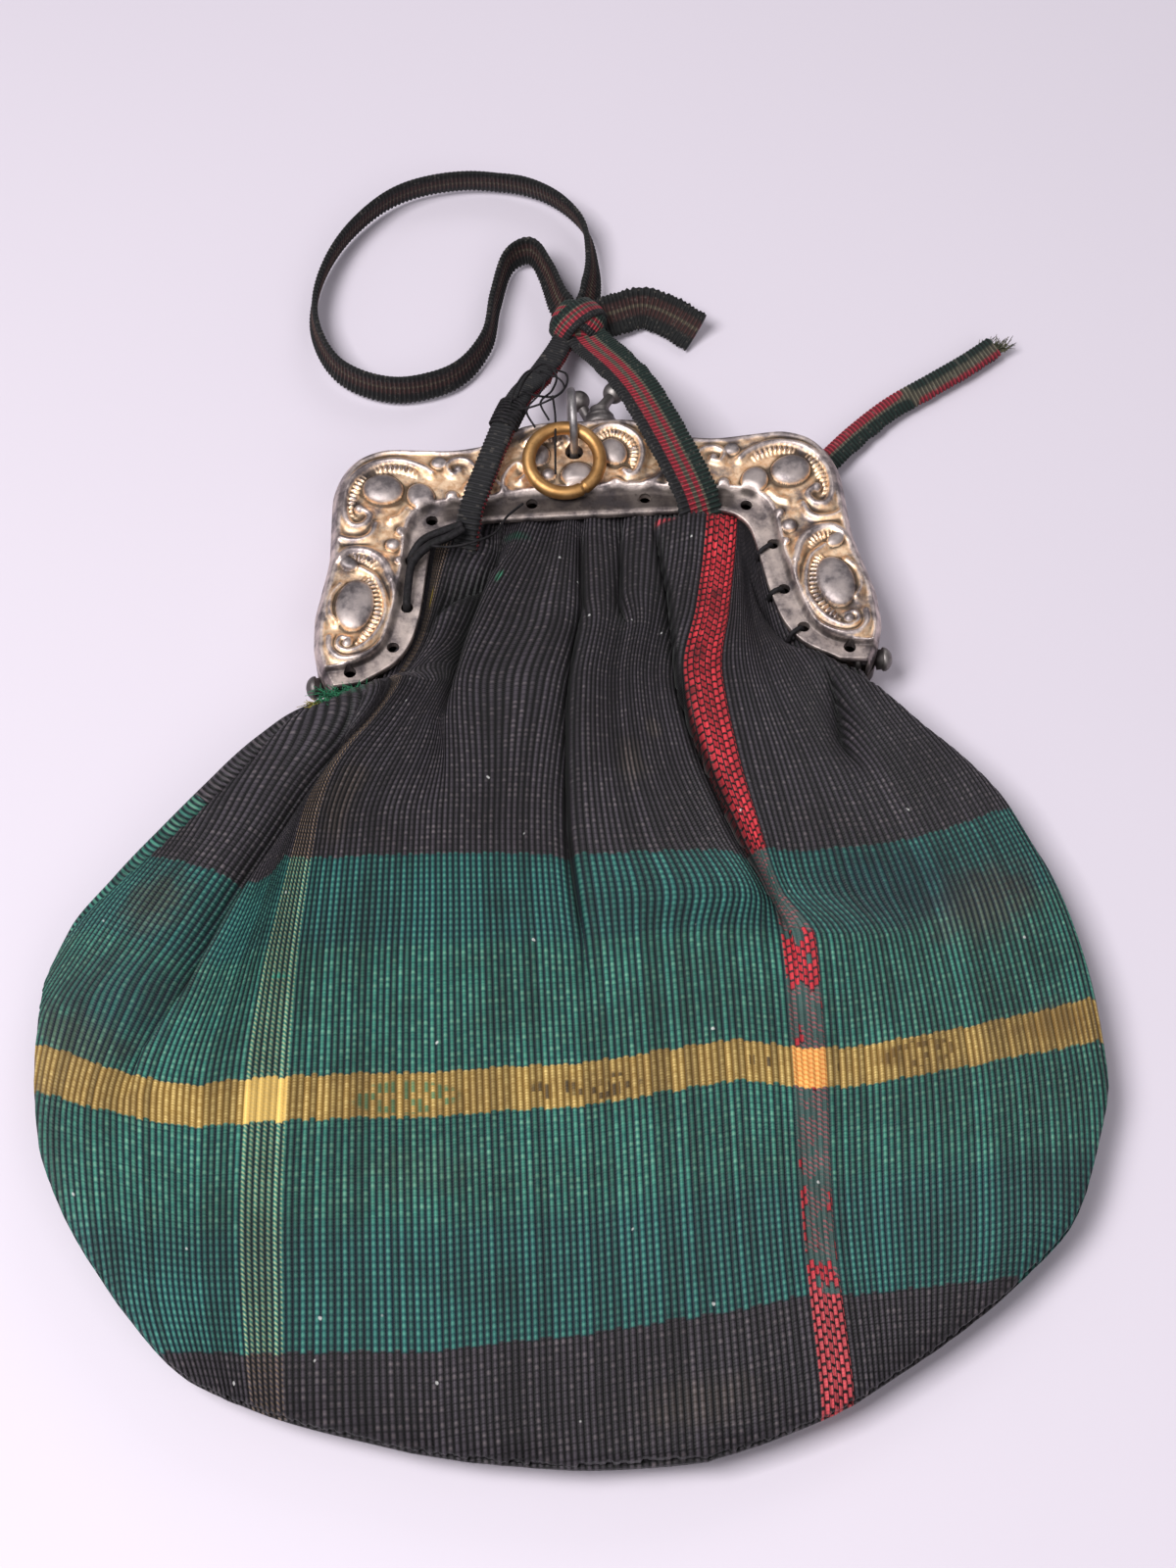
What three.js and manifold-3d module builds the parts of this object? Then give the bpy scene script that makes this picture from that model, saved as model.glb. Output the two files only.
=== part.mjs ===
// A small tartan silk purse with a chased silver kiss-lock frame, lying on its back. Millimetres, Z up.
// Before centring: X to the right, Y from the bag's round bottom to the clasp, hinge line at Y = 0, table at Z = 0.
import * as THREE from "three";
import { mergeVertices } from "three/addons/utils/BufferGeometryUtils.js";
import Module from "manifold-3d";

const wasm = await Module();
wasm.setup();

// Heights above the table.
const PARTING = 4.6;
const CLOTH = 1.1;
const MOUTH_FRONT = 6.3;
const SEAM_FRONT = 5.85;
const MOUTH_BACK = 2.6;
const SEAM_BACK = 3.35;
const BAR_TUCK_Y = 20.6;
// Between the frame's arms the belly rises only this far in from the sewing edge.
const MOUTH_CLEAR = 1.4;

// The bag from the mouth to the bottom: where the cloth's edges are, and how high the belly is in the middle.
const SECTIONS = [
  { y: 18.6, left: -15, right: 15, crown: 6.3 },
  { y: 16.5, left: -17.2, right: 17, crown: 6.8 },
  { y: 12, left: -17.9, right: 17.9, crown: 8.4 },
  { y: 6, left: -18.9, right: 18.9, crown: 10.4 },
  { y: 2, left: -20.6, right: 20.6, crown: 11.5 },
  { y: -0.7, left: -22.4, right: 23.4, crown: 12.2 },
  { y: -2.2, left: -25.2, right: 25, crown: 12.5 },
  { y: -4, left: -30.3, right: 26.4, crown: 12.9 },
  { y: -8, left: -34.5, right: 31.8, crown: 13.7 },
  { y: -13, left: -39.5, right: 37.2, crown: 14.5 },
  { y: -18, left: -44.5, right: 40.6, crown: 15.1 },
  { y: -23, left: -50.5, right: 42.6, crown: 15.5 },
  { y: -28, left: -54.8, right: 44.4, crown: 15.8 },
  { y: -35, left: -57.3, right: 45.9, crown: 16 },
  { y: -42, left: -58, right: 46.6, crown: 15.9 },
  { y: -50, left: -56.8, right: 46.3, crown: 15.5 },
  { y: -57, left: -53.9, right: 44.2, crown: 14.7 },
  { y: -64, left: -50.2, right: 41, crown: 13.4 },
  { y: -70, left: -46.6, right: 34.7, crown: 11.8 },
  { y: -74, left: -43.3, right: 29.2, crown: 10.5 },
  { y: -78, left: -36, right: 22.6, crown: 9 },
  { y: -81, left: -27.5, right: 17, crown: 7.8 },
  { y: -83.5, left: -18, right: 10, crown: 6.9 },
  { y: -85, left: -8, right: 4, crown: 6.2 },
];

// Ribs of the cloth: where each runs across the bag, at the heights in RIB_LEVELS.
const RIB_LEVELS = [14, 4, -6, -16, -26, -33, -38, -50, -66, -80];
const RIBS = [
  { rib: -58, across: [-32, -34, -37, -43, -49.5, -54, -57.5, -59, -57, -53] },
  { rib: -46, across: [-18, -20, -24, -30, -35.3, -39, -41.9, -46.5, -46, -42] },
  { rib: -34.5, across: [-15.5, -18, -23.5, -28.8, -31.2, -32.5, -33.3, -34.5, -35.3, -35.3] },
  { rib: -21, across: [-9.6, -13.5, -17.8, -19.2, -20, -20.3, -20.6, -21, -21.3, -21.5] },
  { rib: -4, across: [-0.8, -1.3, -3.1, -4, -4.4, -4.2, -4, -4, -4.2, -4.5] },
  { rib: 14.5, across: [12.2, 10.5, 8.7, 9.6, 12, 14.6, 15, 14.8, 14.3, 14.9] },
  { rib: 18, across: [15.6, 13.9, 12.2, 12.8, 14.5, 16.6, 18.4, 18, 17.2, 18] },
  { rib: 32, across: [17.5, 18.8, 21.5, 25.5, 28.8, 30.5, 31.2, 32, 31, 29] },
  { rib: 47, across: [33, 34.5, 37, 41, 44.5, 46, 46.6, 47, 46, 44] },
];
const FRONT_RIBS = [
  -57.4, -56.4, -55, -53.4, -51.6, -50, -48.6, -47.4, -46, -43, -40, -37, -34.5, -30, -25.5, -23, -21, -19, -15, -10, -6,
  -4, -2, 2, 6, 10, 12.5, 14.5, 16.2, 18, 22, 26, 29, 32, 34.4, 36.2, 37.6, 39, 41, 43, 44.8, 46.4,
];
const BACK_RIBS = [
  -57.4, -56, -53.4, -50.6, -48.6, -47.2, -44, -38, -31, -24, -17, -10, -3, 4, 11, 18, 25, 31, 34.4, 36.2, 37.6, 39.5, 42,
  44.6, 46.4,
];
// Rows of both panels from the mouth down; a row this near a rib's end is left out.
const ROWS = [
  20.5, 18.5, 16, 12, 8, 5, 2, -1, -4, -7.5, -11, -15, -19, -23, -27.5, -32, -37, -42, -48, -54, -60, -66, -71, -75.5, -79.5, -83,
];
const ROW_NEAR = 0.8;

// The main folds, each a furrow along a line: depth and half width at its points.
const FOLDS = [
  { name: "left gather", line: [
    { x: -10.5, y: 13, deep: 1.2, wide: 1.4 }, { x: -12.2, y: 6.7, deep: 2.4, wide: 1.6 },
    { x: -14.2, y: 3, deep: 2.6, wide: 1.8 }, { x: -16.8, y: -2, deep: 1.8, wide: 2.2 },
    { x: -18.5, y: -9, deep: 0, wide: 2.6 },
  ] },
  { name: "centre crease", line: [
    { x: -0.8, y: 14, deep: 1.2, wide: 1.3 }, { x: -1, y: 5.8, deep: 2.6, wide: 1.4 },
    { x: -2.1, y: 0.8, deep: 3.2, wide: 1.5 }, { x: -3.4, y: -7.7, deep: 3.4, wide: 1.6 },
    { x: -4, y: -17, deep: 3, wide: 1.7 }, { x: -4.4, y: -26, deep: 2.2, wide: 1.9 },
    { x: -4, y: -35, deep: 1.2, wide: 2.2 }, { x: -3.8, y: -42, deep: 0, wide: 2.6 },
  ] },
  { name: "mouth dimple", line: [
    { x: 3.5, y: 14, deep: 1.2, wide: 1.3 }, { x: 3.1, y: 8, deep: 1.4, wide: 1.5 },
    { x: 3, y: 2, deep: 0, wide: 1.8 },
  ] },
  { name: "red stripe fold", line: [
    { x: 8.2, y: 14, deep: 1.2, wide: 1.3 }, { x: 8.2, y: 6.5, deep: 2.4, wide: 1.4 },
    { x: 8, y: 0, deep: 3, wide: 1.5 }, { x: 8.1, y: -7, deep: 3.4, wide: 1.6 },
    { x: 9.3, y: -14.4, deep: 3.4, wide: 1.7 }, { x: 12, y: -24, deep: 3.2, wide: 1.8 },
    { x: 14.6, y: -31.7, deep: 2.2, wide: 2 }, { x: 15.8, y: -36, deep: 1, wide: 2.3 },
    { x: 16.5, y: -41, deep: 0, wide: 2.6 },
  ] },
  { name: "right arm dimple", line: [
    { x: 23.6, y: -4.8, deep: 1.5, wide: 1.5 }, { x: 24, y: -9.5, deep: 3, wide: 1.7 },
    { x: 23.9, y: -13.6, deep: 2.6, wide: 2 }, { x: 25, y: -18, deep: 0, wide: 2.6 },
  ] },
  { name: "left flap fold", line: [
    { x: -25, y: -6.5, deep: 1.5, wide: 1.7 }, { x: -27, y: -11.6, deep: 3, wide: 1.9 },
    { x: -30.5, y: -18, deep: 4, wide: 2.1 }, { x: -33.7, y: -23.7, deep: 4, wide: 2.3 },
    { x: -37.8, y: -30.2, deep: 3.2, wide: 2.7 }, { x: -41.9, y: -37.8, deep: 2, wide: 3.2 },
    { x: -46.4, y: -44, deep: 0.8, wide: 4 }, { x: -48.5, y: -50, deep: 0, wide: 4.5 },
  ] },
];

// Right half of the frame from the crest to the arm's end: outer edge and sewing edge.
const FRAME_STATIONS = [
  { outX: 0, outY: 32, inX: 0, inY: 18.8 },
  { outX: 3.5, outY: 32, inX: 3.5, inY: 18.8 },
  { outX: 6.5, outY: 31.6, inX: 6.5, inY: 18.8 },
  { outX: 9, outY: 30, inX: 9, inY: 18.8 },
  { outX: 11.5, outY: 28.9, inX: 11, inY: 18.8 },
  { outX: 15, outY: 28.5, inX: 13, inY: 18.7 },
  { outX: 18.5, outY: 28.8, inX: 14.6, inY: 18.5 },
  { outX: 22, outY: 29.1, inX: 15.8, inY: 18 },
  { outX: 25, outY: 28.2, inX: 16.6, inY: 17.3 },
  { outX: 27, outY: 25.8, inX: 17.1, inY: 16.6 },
  { outX: 28, outY: 22.5, inX: 17.5, inY: 15.6 },
  { outX: 28.2, outY: 19, inX: 17.8, inY: 14 },
  { outX: 28.4, outY: 15, inX: 18.1, inY: 12 },
  { outX: 29.3, outY: 10.5, inX: 18.6, inY: 8.5 },
  { outX: 30.1, outY: 6.5, inX: 19.1, inY: 6 },
  { outX: 30.2, outY: 3.2, inX: 20, inY: 3.2 },
  { outX: 29.6, outY: 0.4, inX: 21.6, inY: 0.9 },
  { outX: 28.4, outY: -1.8, inX: 25.3, inY: -1.5 },
];
// One half's section: share of the way from the outer to the sewing edge, and rise from the parting plane.
const FRAME_SECTION = [
  { share: 0, rise: 0.15 },
  { share: 0, rise: 3.4 },
  { share: 0.05, rise: 4.1 },
  { share: 0.16, rise: 4.6 },
  { share: 0.5, rise: 4.6 },
  { share: 0.66, rise: 3.6 },
  { share: 1, rise: 3.6 },
  { share: 1, rise: 2.8 },
  { share: 0.1, rise: 2.8 },
  { share: 0.1, rise: 0.15 },
];
// Stitch holes of one half's right side; the left side mirrors them.
const STITCH_HOLE = 1.3;
const STITCH_HOLES = [
  { x: 6.2, y: 20.6 }, { x: 12, y: 20.6 }, { x: 17.2, y: 19 }, { x: 19.6, y: 13.6 },
  { x: 20.2, y: 7.6 }, { x: 21.8, y: 2.6 }, { x: 26.4, y: -0.3 },
];

const RIVET_Y = 0.3;
const RIVET_NOTCH = 0.95;
// Rivet turned about its own axis: distance from the purse's middle, and radius.
const RIVET_TURNED = [
  { along: 27.2, radius: 0 }, { along: 27.2, radius: 1.2 }, { along: 27.9, radius: 1.2 },
  { along: 27.9, radius: 0.6 }, { along: 30.25, radius: 0.6 }, { along: 30.25, radius: 1.3 },
  { along: 30.8, radius: 1.15 }, { along: 31.2, radius: 0.65 }, { along: 31.35, radius: 0 },
];

const CLASP_X = 2;
const COLLAR = { radius: 1.9, from: 31.6, to: 33.2 };
const NECK = { radius: 1.2, from: 33, to: 34.4 };
const POST_RADIUS = 0.8;
const BALL_RADIUS = 1.25;
const CLASPS = {
  front: { rise: 2.3, ball: [3.9, 37.3], ballRise: 1.5 },
  back: { rise: 2.3, ball: [0, 38.6], ballRise: 1.3 },
};

const LINK = { x: -1.2, y: 30.4, z: 9.3, halfY: 3.5, halfZ: 4.1, wire: 0.45, hole: 1 };
const LINK_PLATE_Y = 27;
const LINK_WALL_Z = 5.45;
const RING = { x: -2.4, y: 24.9, z: 10.1, radius: 3.9, wire: 0.75, tilt: 13 };

const RIBBON_WIDE = 4.8;
const RIBBON_FOLDED = 2.6;
const RIBBON_THICK = 1;
const FOLDED_THICK = 1.6;
// Ribbon strands: middle line, and how far the width is turned up from level.
const STRANDS = [
  { name: "ribbon_left", wide: RIBBON_FOLDED, thick: FOLDED_THICK, line: [
    { x: -13.6, y: 16, z: 9.8, turn: 0 }, { x: -12.8, y: 19, z: 10.3, turn: 0 }, { x: -11.2, y: 23.5, z: 10.5, turn: 0 },
    { x: -8.7, y: 30.2, z: 10.4, turn: 0 }, { x: -6.8, y: 35.6, z: 8.4, turn: 0 }, { x: -4.6, y: 40.5, z: 5.6, turn: 0 },
    { x: -2, y: 46.3, z: 3.2, turn: 0 },
  ] },
  { name: "ribbon_right", wide: RIBBON_WIDE, thick: RIBBON_THICK, line: [
    { x: 12.6, y: 16.2, z: 9.6, turn: 0 }, { x: 11.8, y: 19, z: 10, turn: 0 }, { x: 10.3, y: 23.5, z: 10.2, turn: 0 },
    { x: 8.5, y: 29, z: 10.2, turn: 0 }, { x: 6.4, y: 35, z: 9.7, turn: 0 }, { x: 4.4, y: 40, z: 7.8, turn: 0 },
    { x: 2.1, y: 46, z: 4.4, turn: 0 },
  ] },
  { name: "ribbon_loop", wide: RIBBON_WIDE, thick: RIBBON_THICK, line: [
    { x: 2.2, y: 54.2, z: 3.4, turn: 55 }, { x: 2.8, y: 60, z: 3.1, turn: 70 }, { x: 1.8, y: 66.5, z: 3, turn: 78 },
    { x: -3.2, y: 72.2, z: 2.6, turn: 80 }, { x: -11.2, y: 74.2, z: 2.6, turn: 80 }, { x: -19.5, y: 72.6, z: 2.6, turn: 80 },
    { x: -25.6, y: 67.2, z: 2.6, turn: 80 }, { x: -29.3, y: 60, z: 2.6, turn: 80 }, { x: -30.2, y: 52.6, z: 2.6, turn: 80 },
    { x: -27.4, y: 45.6, z: 2.6, turn: 80 }, { x: -21.4, y: 42.4, z: 2.6, turn: 80 }, { x: -14.6, y: 43.6, z: 2.6, turn: 80 },
    { x: -10.4, y: 48.6, z: 2.6, turn: 80 }, { x: -9, y: 55, z: 2.6, turn: 80 }, { x: -7.2, y: 61, z: 2.6, turn: 80 },
    { x: -4.4, y: 62.2, z: 3, turn: 78 }, { x: -2.6, y: 58.6, z: 3.1, turn: 70 }, { x: -1.6, y: 54.1, z: 3.4, turn: 60 },
  ] },
  { name: "ribbon_end_short", wide: RIBBON_WIDE, thick: RIBBON_THICK, line: [
    { x: 4.9, y: 51.9, z: 2.6, turn: 40 }, { x: 8.4, y: 53.2, z: 2.1, turn: 40 }, { x: 11.6, y: 51.6, z: 2, turn: 38 },
    { x: 14.4, y: 49.2, z: 1.9, turn: 35 },
  ] },
  { name: "ribbon_end_long", wide: RIBBON_FOLDED, thick: FOLDED_THICK, line: [
    { x: 26.3, y: 27.8, z: 2.2, turn: 20 }, { x: 28.4, y: 29.9, z: 2, turn: 22 }, { x: 31.4, y: 33, z: 1.7, turn: 25 }, { x: 36, y: 36.9, z: 1.5, turn: 30 },
    { x: 41.4, y: 40.2, z: 1.5, turn: 30 }, { x: 45.6, y: 42.8, z: 1.5, turn: 25 }, { x: 49, y: 45.2, z: 1.5, turn: 20 },
  ] },
];
const STRAND_STEP = 2.6;
const KNOT = { x: 0.6, y: 50.2, z: 3.3, halfX: 3.9, halfY: 3.6, halfZ: 3.2 };

const MATERIALS = {
  silk_front: { color: 0x1e5a4c, metalness: 0, roughness: 0.75 },
  silk_back: { color: 0x2c2a30, metalness: 0, roughness: 0.75 },
  silver: { color: 0x9a9490, metalness: 1, roughness: 0.4 },
  brass: { color: 0xb8904c, metalness: 1, roughness: 0.35 },
  ribbon: { color: 0x5a2a30, metalness: 0, roughness: 0.8 },
};

const lerp = (a, b, t) => a + (b - a) * t;
const clamp = (v, low, high) => Math.min(high, Math.max(low, v));
const smooth = (low, high, v) => {
  const t = clamp((v - low) / (high - low), 0, 1);
  return t * t * (3 - 2 * t);
};

// Value at v on a curve through the knots that never overshoots them.
function along(knots, values, v) {
  const last = knots.length - 1;
  const sign = knots[last] > knots[0] ? 1 : -1;
  if ((v - knots[0]) * sign <= 0) return values[0];
  if ((knots[last] - v) * sign <= 0) return values[last];
  let i = 0;
  while ((knots[i + 1] - v) * sign < 0) i += 1;
  const slope = (j) => (values[j + 1] - values[j]) / (knots[j + 1] - knots[j]);
  const tangent = (j) => {
    if (j === 0) return slope(0);
    if (j === last) return slope(last - 1);
    const a = slope(j - 1);
    const b = slope(j);
    return a * b <= 0 ? 0 : (2 * a * b) / (a + b);
  };
  const span = knots[i + 1] - knots[i];
  const t = (v - knots[i]) / span;
  const a = values[i];
  const b = values[i + 1];
  const ta = tangent(i) * span;
  const tb = tangent(i + 1) * span;
  return a + ta * t + (3 * (b - a) - 2 * ta - tb) * t * t + (2 * (a - b) + ta + tb) * t * t * t;
}

const SECTION_Y = SECTIONS.map((s) => s.y);
const section = (column, y) => along(SECTION_Y, SECTIONS.map((s) => s[column]), y);
const RIB_AT = RIBS.map((r) => r.rib);
const ribX = (rib, y) => along(RIB_AT, RIBS.map((r) => along(RIB_LEVELS, r.across, y)), rib);

// The panels' edge: the seam outside, and a tuck under the frame's flange at the mouth.
function panelEdge() {
  const tuck = (y) => (y >= 2 ? 1.7 : y > -3 ? 0.6 : 0);
  const height = (y) => (y > 18 ? BAR_TUCK_Y : y);
  const right = SECTIONS.map((s) => [s.right + tuck(s.y), height(s.y)]);
  const left = SECTIONS.map((s) => [s.left - tuck(s.y), height(s.y)]);
  return right.concat(left.reverse());
}
const EDGE = panelEdge();

function inside(x, y) {
  let within = false;
  EDGE.forEach(([ax, ay], i) => {
    const [bx, by] = EDGE[(i + 1) % EDGE.length];
    if (ay > y !== by > y && x < ax + ((bx - ax) * (y - ay)) / (by - ay)) within = !within;
  });
  return within;
}

// The two ends of a rib, where it meets the panel's edge.
function ribEnds(rib) {
  const step = 0.25;
  let top = null;
  let low = null;
  for (let y = BAR_TUCK_Y; y > -86; y -= step) {
    if (!inside(ribX(rib, y), y)) continue;
    if (top === null) top = y;
    low = y;
  }
  return { top: top + step / 2, low: low - step / 2 };
}

// How far a point is from the cloth's edge to the belly's crown: 0 at the edge, 1 in the middle.
function fullness(x, y) {
  const clear = MOUTH_CLEAR * smooth(-5, -2.5, y);
  const left = section("left", y) + clear;
  const right = section("right", y) - clear;
  const share = Math.abs((2 * x - left - right) / (right - left));
  return share >= 1 ? 0 : (1 - share ** 2.4) ** 0.6;
}

// Depth of all furrows at a point.
function furrows(x, y) {
  let depth = 0;
  FOLDS.forEach(({ line }) => {
    let nearest = 1e9;
    let here = 0;
    for (let i = 0; i + 1 < line.length; i += 1) {
      const a = line[i];
      const b = line[i + 1];
      const span = (b.x - a.x) ** 2 + (b.y - a.y) ** 2;
      const t = clamp(((x - a.x) * (b.x - a.x) + (y - a.y) * (b.y - a.y)) / span, 0, 1);
      const gap = Math.hypot(x - lerp(a.x, b.x, t), y - lerp(a.y, b.y, t));
      if (gap < nearest) {
        nearest = gap;
        here = lerp(a.deep, b.deep, t) * Math.exp(-((gap / lerp(a.wide, b.wide, t)) ** 2));
      }
    }
    depth += here;
  });
  return depth;
}

function frontTop(x, y) {
  const rim = lerp(SEAM_FRONT, MOUTH_FRONT, smooth(-6, -2, y));
  const full = fullness(x, y);
  const dome = rim + Math.max(0, section("crown", y) - rim) * full;
  return dome - furrows(x, y) * smooth(0.05, 0.45, full);
}

function backLow(x, y) {
  const rim = lerp(SEAM_BACK, MOUTH_BACK, smooth(-6, -2, y));
  const tall = (section("crown", y) - SEAM_FRONT) / 10;
  const near = 1 - fullness(x, y) * clamp(tall * 1.6, 0, 1);
  return rim * smooth(0.3, 1, near);
}

function closedMesh(positions, faces) {
  const geometry = new THREE.BufferGeometry();
  geometry.setAttribute("position", new THREE.Float32BufferAttribute(positions.flat(), 3));
  let volume = 0;
  faces.forEach(([a, b, c]) => {
    const p = positions[a];
    const q = positions[b];
    const r = positions[c];
    volume += p[0] * (q[1] * r[2] - q[2] * r[1]) + p[1] * (q[2] * r[0] - q[0] * r[2]) + p[2] * (q[0] * r[1] - q[1] * r[0]);
  });
  geometry.setIndex((volume > 0 ? faces : faces.map(([a, b, c]) => [a, c, b])).flat());
  return geometry;
}

// A cloth wall: ribs by rows, cut off at the panel's edge, with an upper and a lower face.
function panel(ribs, height) {
  const points = [];
  const column = (rib) => {
    const { top, low } = ribEnds(rib);
    let lastY = null;
    return [BAR_TUCK_Y + 1].concat(ROWS, [-90]).map((row) => {
      const y = row > top - ROW_NEAR ? top : row < low + ROW_NEAR ? low : row;
      if (y !== lastY) points.push([ribX(rib, y), y, height(ribX(rib, y), y)]);
      lastY = y;
      return points.length - 1;
    });
  };
  const grid = ribs.map(column);
  const half = points.length;
  const upper = [];
  for (let i = 0; i + 1 < grid.length; i += 1) {
    for (let j = 0; j + 1 < grid[i].length; j += 1) {
      const [a, b, c, d] = [grid[i][j], grid[i][j + 1], grid[i + 1][j + 1], grid[i + 1][j]];
      [[a, b, c], [a, c, d]].forEach((face) => {
        if (new Set(face).size === 3) upper.push(face);
      });
    }
  }
  const faces = upper.concat(upper.map(([a, b, c]) => [half + a, half + c, half + b]));
  const sides = upper.flatMap(([a, b, c]) => [[a, b], [b, c], [c, a]]);
  const known = new Set(sides.map(([a, b]) => `${a},${b}`));
  sides.filter(([a, b]) => !known.has(`${b},${a}`)).forEach(([a, b]) => {
    faces.push([b, a, half + a], [b, half + a, half + b]);
  });
  return closedMesh(points.map(([x, y, z]) => [x, y, z + CLOTH]).concat(points), faces);
}

// A body swept through rings of points that all have the same order, closed at both ends.
function swept(rings) {
  const count = rings[0].length;
  const faces = [];
  for (let i = 0; i + 1 < rings.length; i += 1) {
    for (let k = 0; k < count; k += 1) {
      const n = (k + 1) % count;
      const [a, b, c, d] = [i * count + k, i * count + n, (i + 1) * count + n, (i + 1) * count + k];
      faces.push([a, b, c], [a, c, d]);
    }
  }
  return { positions: rings.flat(), faces, last: (rings.length - 1) * count };
}

function frameBody(side) {
  const mirrored = FRAME_STATIONS.slice(1).reverse().map((s) => ({ ...s, outX: -s.outX, inX: -s.inX }));
  const rings = mirrored.concat(FRAME_STATIONS).map((s) => FRAME_SECTION.map(({ share, rise }) => [
    lerp(s.outX, s.inX, share), lerp(s.outY, s.inY, share), PARTING + side * rise,
  ]));
  const { positions, faces, last } = swept(rings);
  const flat = FRAME_SECTION.map((p) => new THREE.Vector2(p.share * 10, p.rise));
  THREE.ShapeUtils.triangulateShape(flat, []).forEach(([a, b, c]) => {
    faces.push(THREE.ShapeUtils.isClockWise(flat) ? [a, b, c] : [a, c, b]);
    faces.push(THREE.ShapeUtils.isClockWise(flat) ? [last + a, last + c, last + b] : [last + a, last + b, last + c]);
  });
  return closedMesh(positions, faces);
}

function solid(geometry) {
  const bare = geometry.index ? geometry.clone() : geometry.clone().toNonIndexed();
  bare.deleteAttribute("normal");
  bare.deleteAttribute("uv");
  const merged = mergeVertices(bare, 1e-4);
  return new wasm.Manifold(new wasm.Mesh({
    numProp: 3,
    vertProperties: new Float32Array(merged.attributes.position.array),
    triVerts: new Uint32Array(merged.index.array),
  }));
}

function geometryOf(body) {
  const { vertProperties, triVerts } = body.getMesh();
  const geometry = new THREE.BufferGeometry();
  geometry.setAttribute("position", new THREE.BufferAttribute(new Float32Array(vertProperties), 3));
  geometry.setIndex(new THREE.BufferAttribute(new Uint32Array(triVerts), 1));
  return geometry;
}

// A round bar between two points.
function bar(from, to, radius, sides) {
  const a = new THREE.Vector3(...from);
  const b = new THREE.Vector3(...to);
  const geometry = new THREE.CylinderGeometry(radius, radius, a.distanceTo(b), sides);
  const turn = new THREE.Quaternion().setFromUnitVectors(new THREE.Vector3(0, 1, 0), b.clone().sub(a).normalize());
  geometry.applyQuaternion(turn);
  const middle = a.add(b).multiplyScalar(0.5);
  return solid(geometry.translate(middle.x, middle.y, middle.z));
}

function clasp(side, { rise, ball, ballRise }) {
  const z = PARTING + side * rise;
  const ballAt = [...ball, PARTING + side * ballRise];
  const knob = new THREE.SphereGeometry(BALL_RADIUS, 12, 8).translate(...ballAt);
  return [
    bar([CLASP_X, COLLAR.from, z], [CLASP_X, COLLAR.to, z], COLLAR.radius, 16),
    bar([CLASP_X, NECK.from, z], [CLASP_X, NECK.to, z], NECK.radius, 12),
    bar([CLASP_X, NECK.to - 0.4, z], ballAt, POST_RADIUS, 10),
    solid(knob),
  ];
}

function frameHalf(side, post) {
  let body = solid(frameBody(side));
  clasp(side, post).forEach((piece) => {
    body = body.add(piece);
  });
  const cuts = [];
  const near = PARTING + side * 2.4;
  const far = PARTING + side * 5;
  STITCH_HOLES.forEach(({ x, y }) => {
    [x, -x].forEach((at) => cuts.push(bar([at, y, near], [at, y, far], STITCH_HOLE / 2, 8)));
  });
  [-1, 1].forEach((hand) => {
    cuts.push(bar([hand * 26, RIVET_Y, PARTING], [hand * 31, RIVET_Y, PARTING], RIVET_NOTCH, 12));
  });
  if (side > 0) {
    cuts.push(bar([LINK.x, LINK_PLATE_Y, near], [LINK.x, LINK_PLATE_Y, far], LINK.hole, 12));
    cuts.push(bar([LINK.x, 29.5, LINK_WALL_Z], [LINK.x, 33, LINK_WALL_Z], LINK.hole, 12));
  }
  cuts.forEach((cut) => {
    body = body.subtract(cut);
  });
  return geometryOf(body);
}

function rivet(hand) {
  const turned = RIVET_TURNED.map((p) => new THREE.Vector2(p.radius, p.along));
  const geometry = new THREE.LatheGeometry(turned, 12).rotateZ(-Math.PI / 2 * hand);
  return geometryOf(solid(geometry.translate(0, RIVET_Y, PARTING)));
}

function ringLink() {
  const points = [];
  const count = 24;
  for (let i = 0; i < count; i += 1) {
    const angle = (i / count) * 2 * Math.PI;
    points.push(new THREE.Vector3(LINK.x, LINK.y + LINK.halfY * Math.cos(angle), LINK.z + LINK.halfZ * Math.sin(angle)));
  }
  const curve = new THREE.CatmullRomCurve3(points, true);
  return geometryOf(solid(new THREE.TubeGeometry(curve, 24, LINK.wire, 6, true)));
}

function hangingRing() {
  const geometry = new THREE.TorusGeometry(RING.radius, RING.wire, 8, 28);
  geometry.rotateX((RING.tilt / 180) * Math.PI).translate(RING.x, RING.y, RING.z);
  return geometryOf(solid(geometry));
}

function strand({ wide, thick, line }) {
  const curve = new THREE.CatmullRomCurve3(line.map((p) => new THREE.Vector3(p.x, p.y, p.z)), false, "centripetal");
  const steps = Math.max(6, Math.round(curve.getLength() / STRAND_STEP));
  const rings = [];
  for (let i = 0; i <= steps; i += 1) {
    const t = i / steps;
    const way = curve.getTangent(t);
    const at = curve.getPoint(t);
    const place = t * (line.length - 1);
    const k = Math.min(line.length - 2, Math.floor(place));
    const turn = (lerp(line[k].turn, line[k + 1].turn, place - k) / 180) * Math.PI;
    const level = new THREE.Vector3(way.y, -way.x, 0).normalize();
    const side = level.applyAxisAngle(way, turn).multiplyScalar(wide / 2);
    const lift = side.clone().cross(way).normalize().multiplyScalar(thick / 2);
    rings.push([[1, 1], [-1, 1], [-1, -1], [1, -1]].map(([s, l]) => (
      at.clone().addScaledVector(side, s).addScaledVector(lift, l).toArray()
    )));
  }
  const { positions, faces, last } = swept(rings);
  faces.push([0, 2, 1], [0, 3, 2], [last, last + 1, last + 2], [last, last + 2, last + 3]);
  return closedMesh(positions, faces);
}

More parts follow.
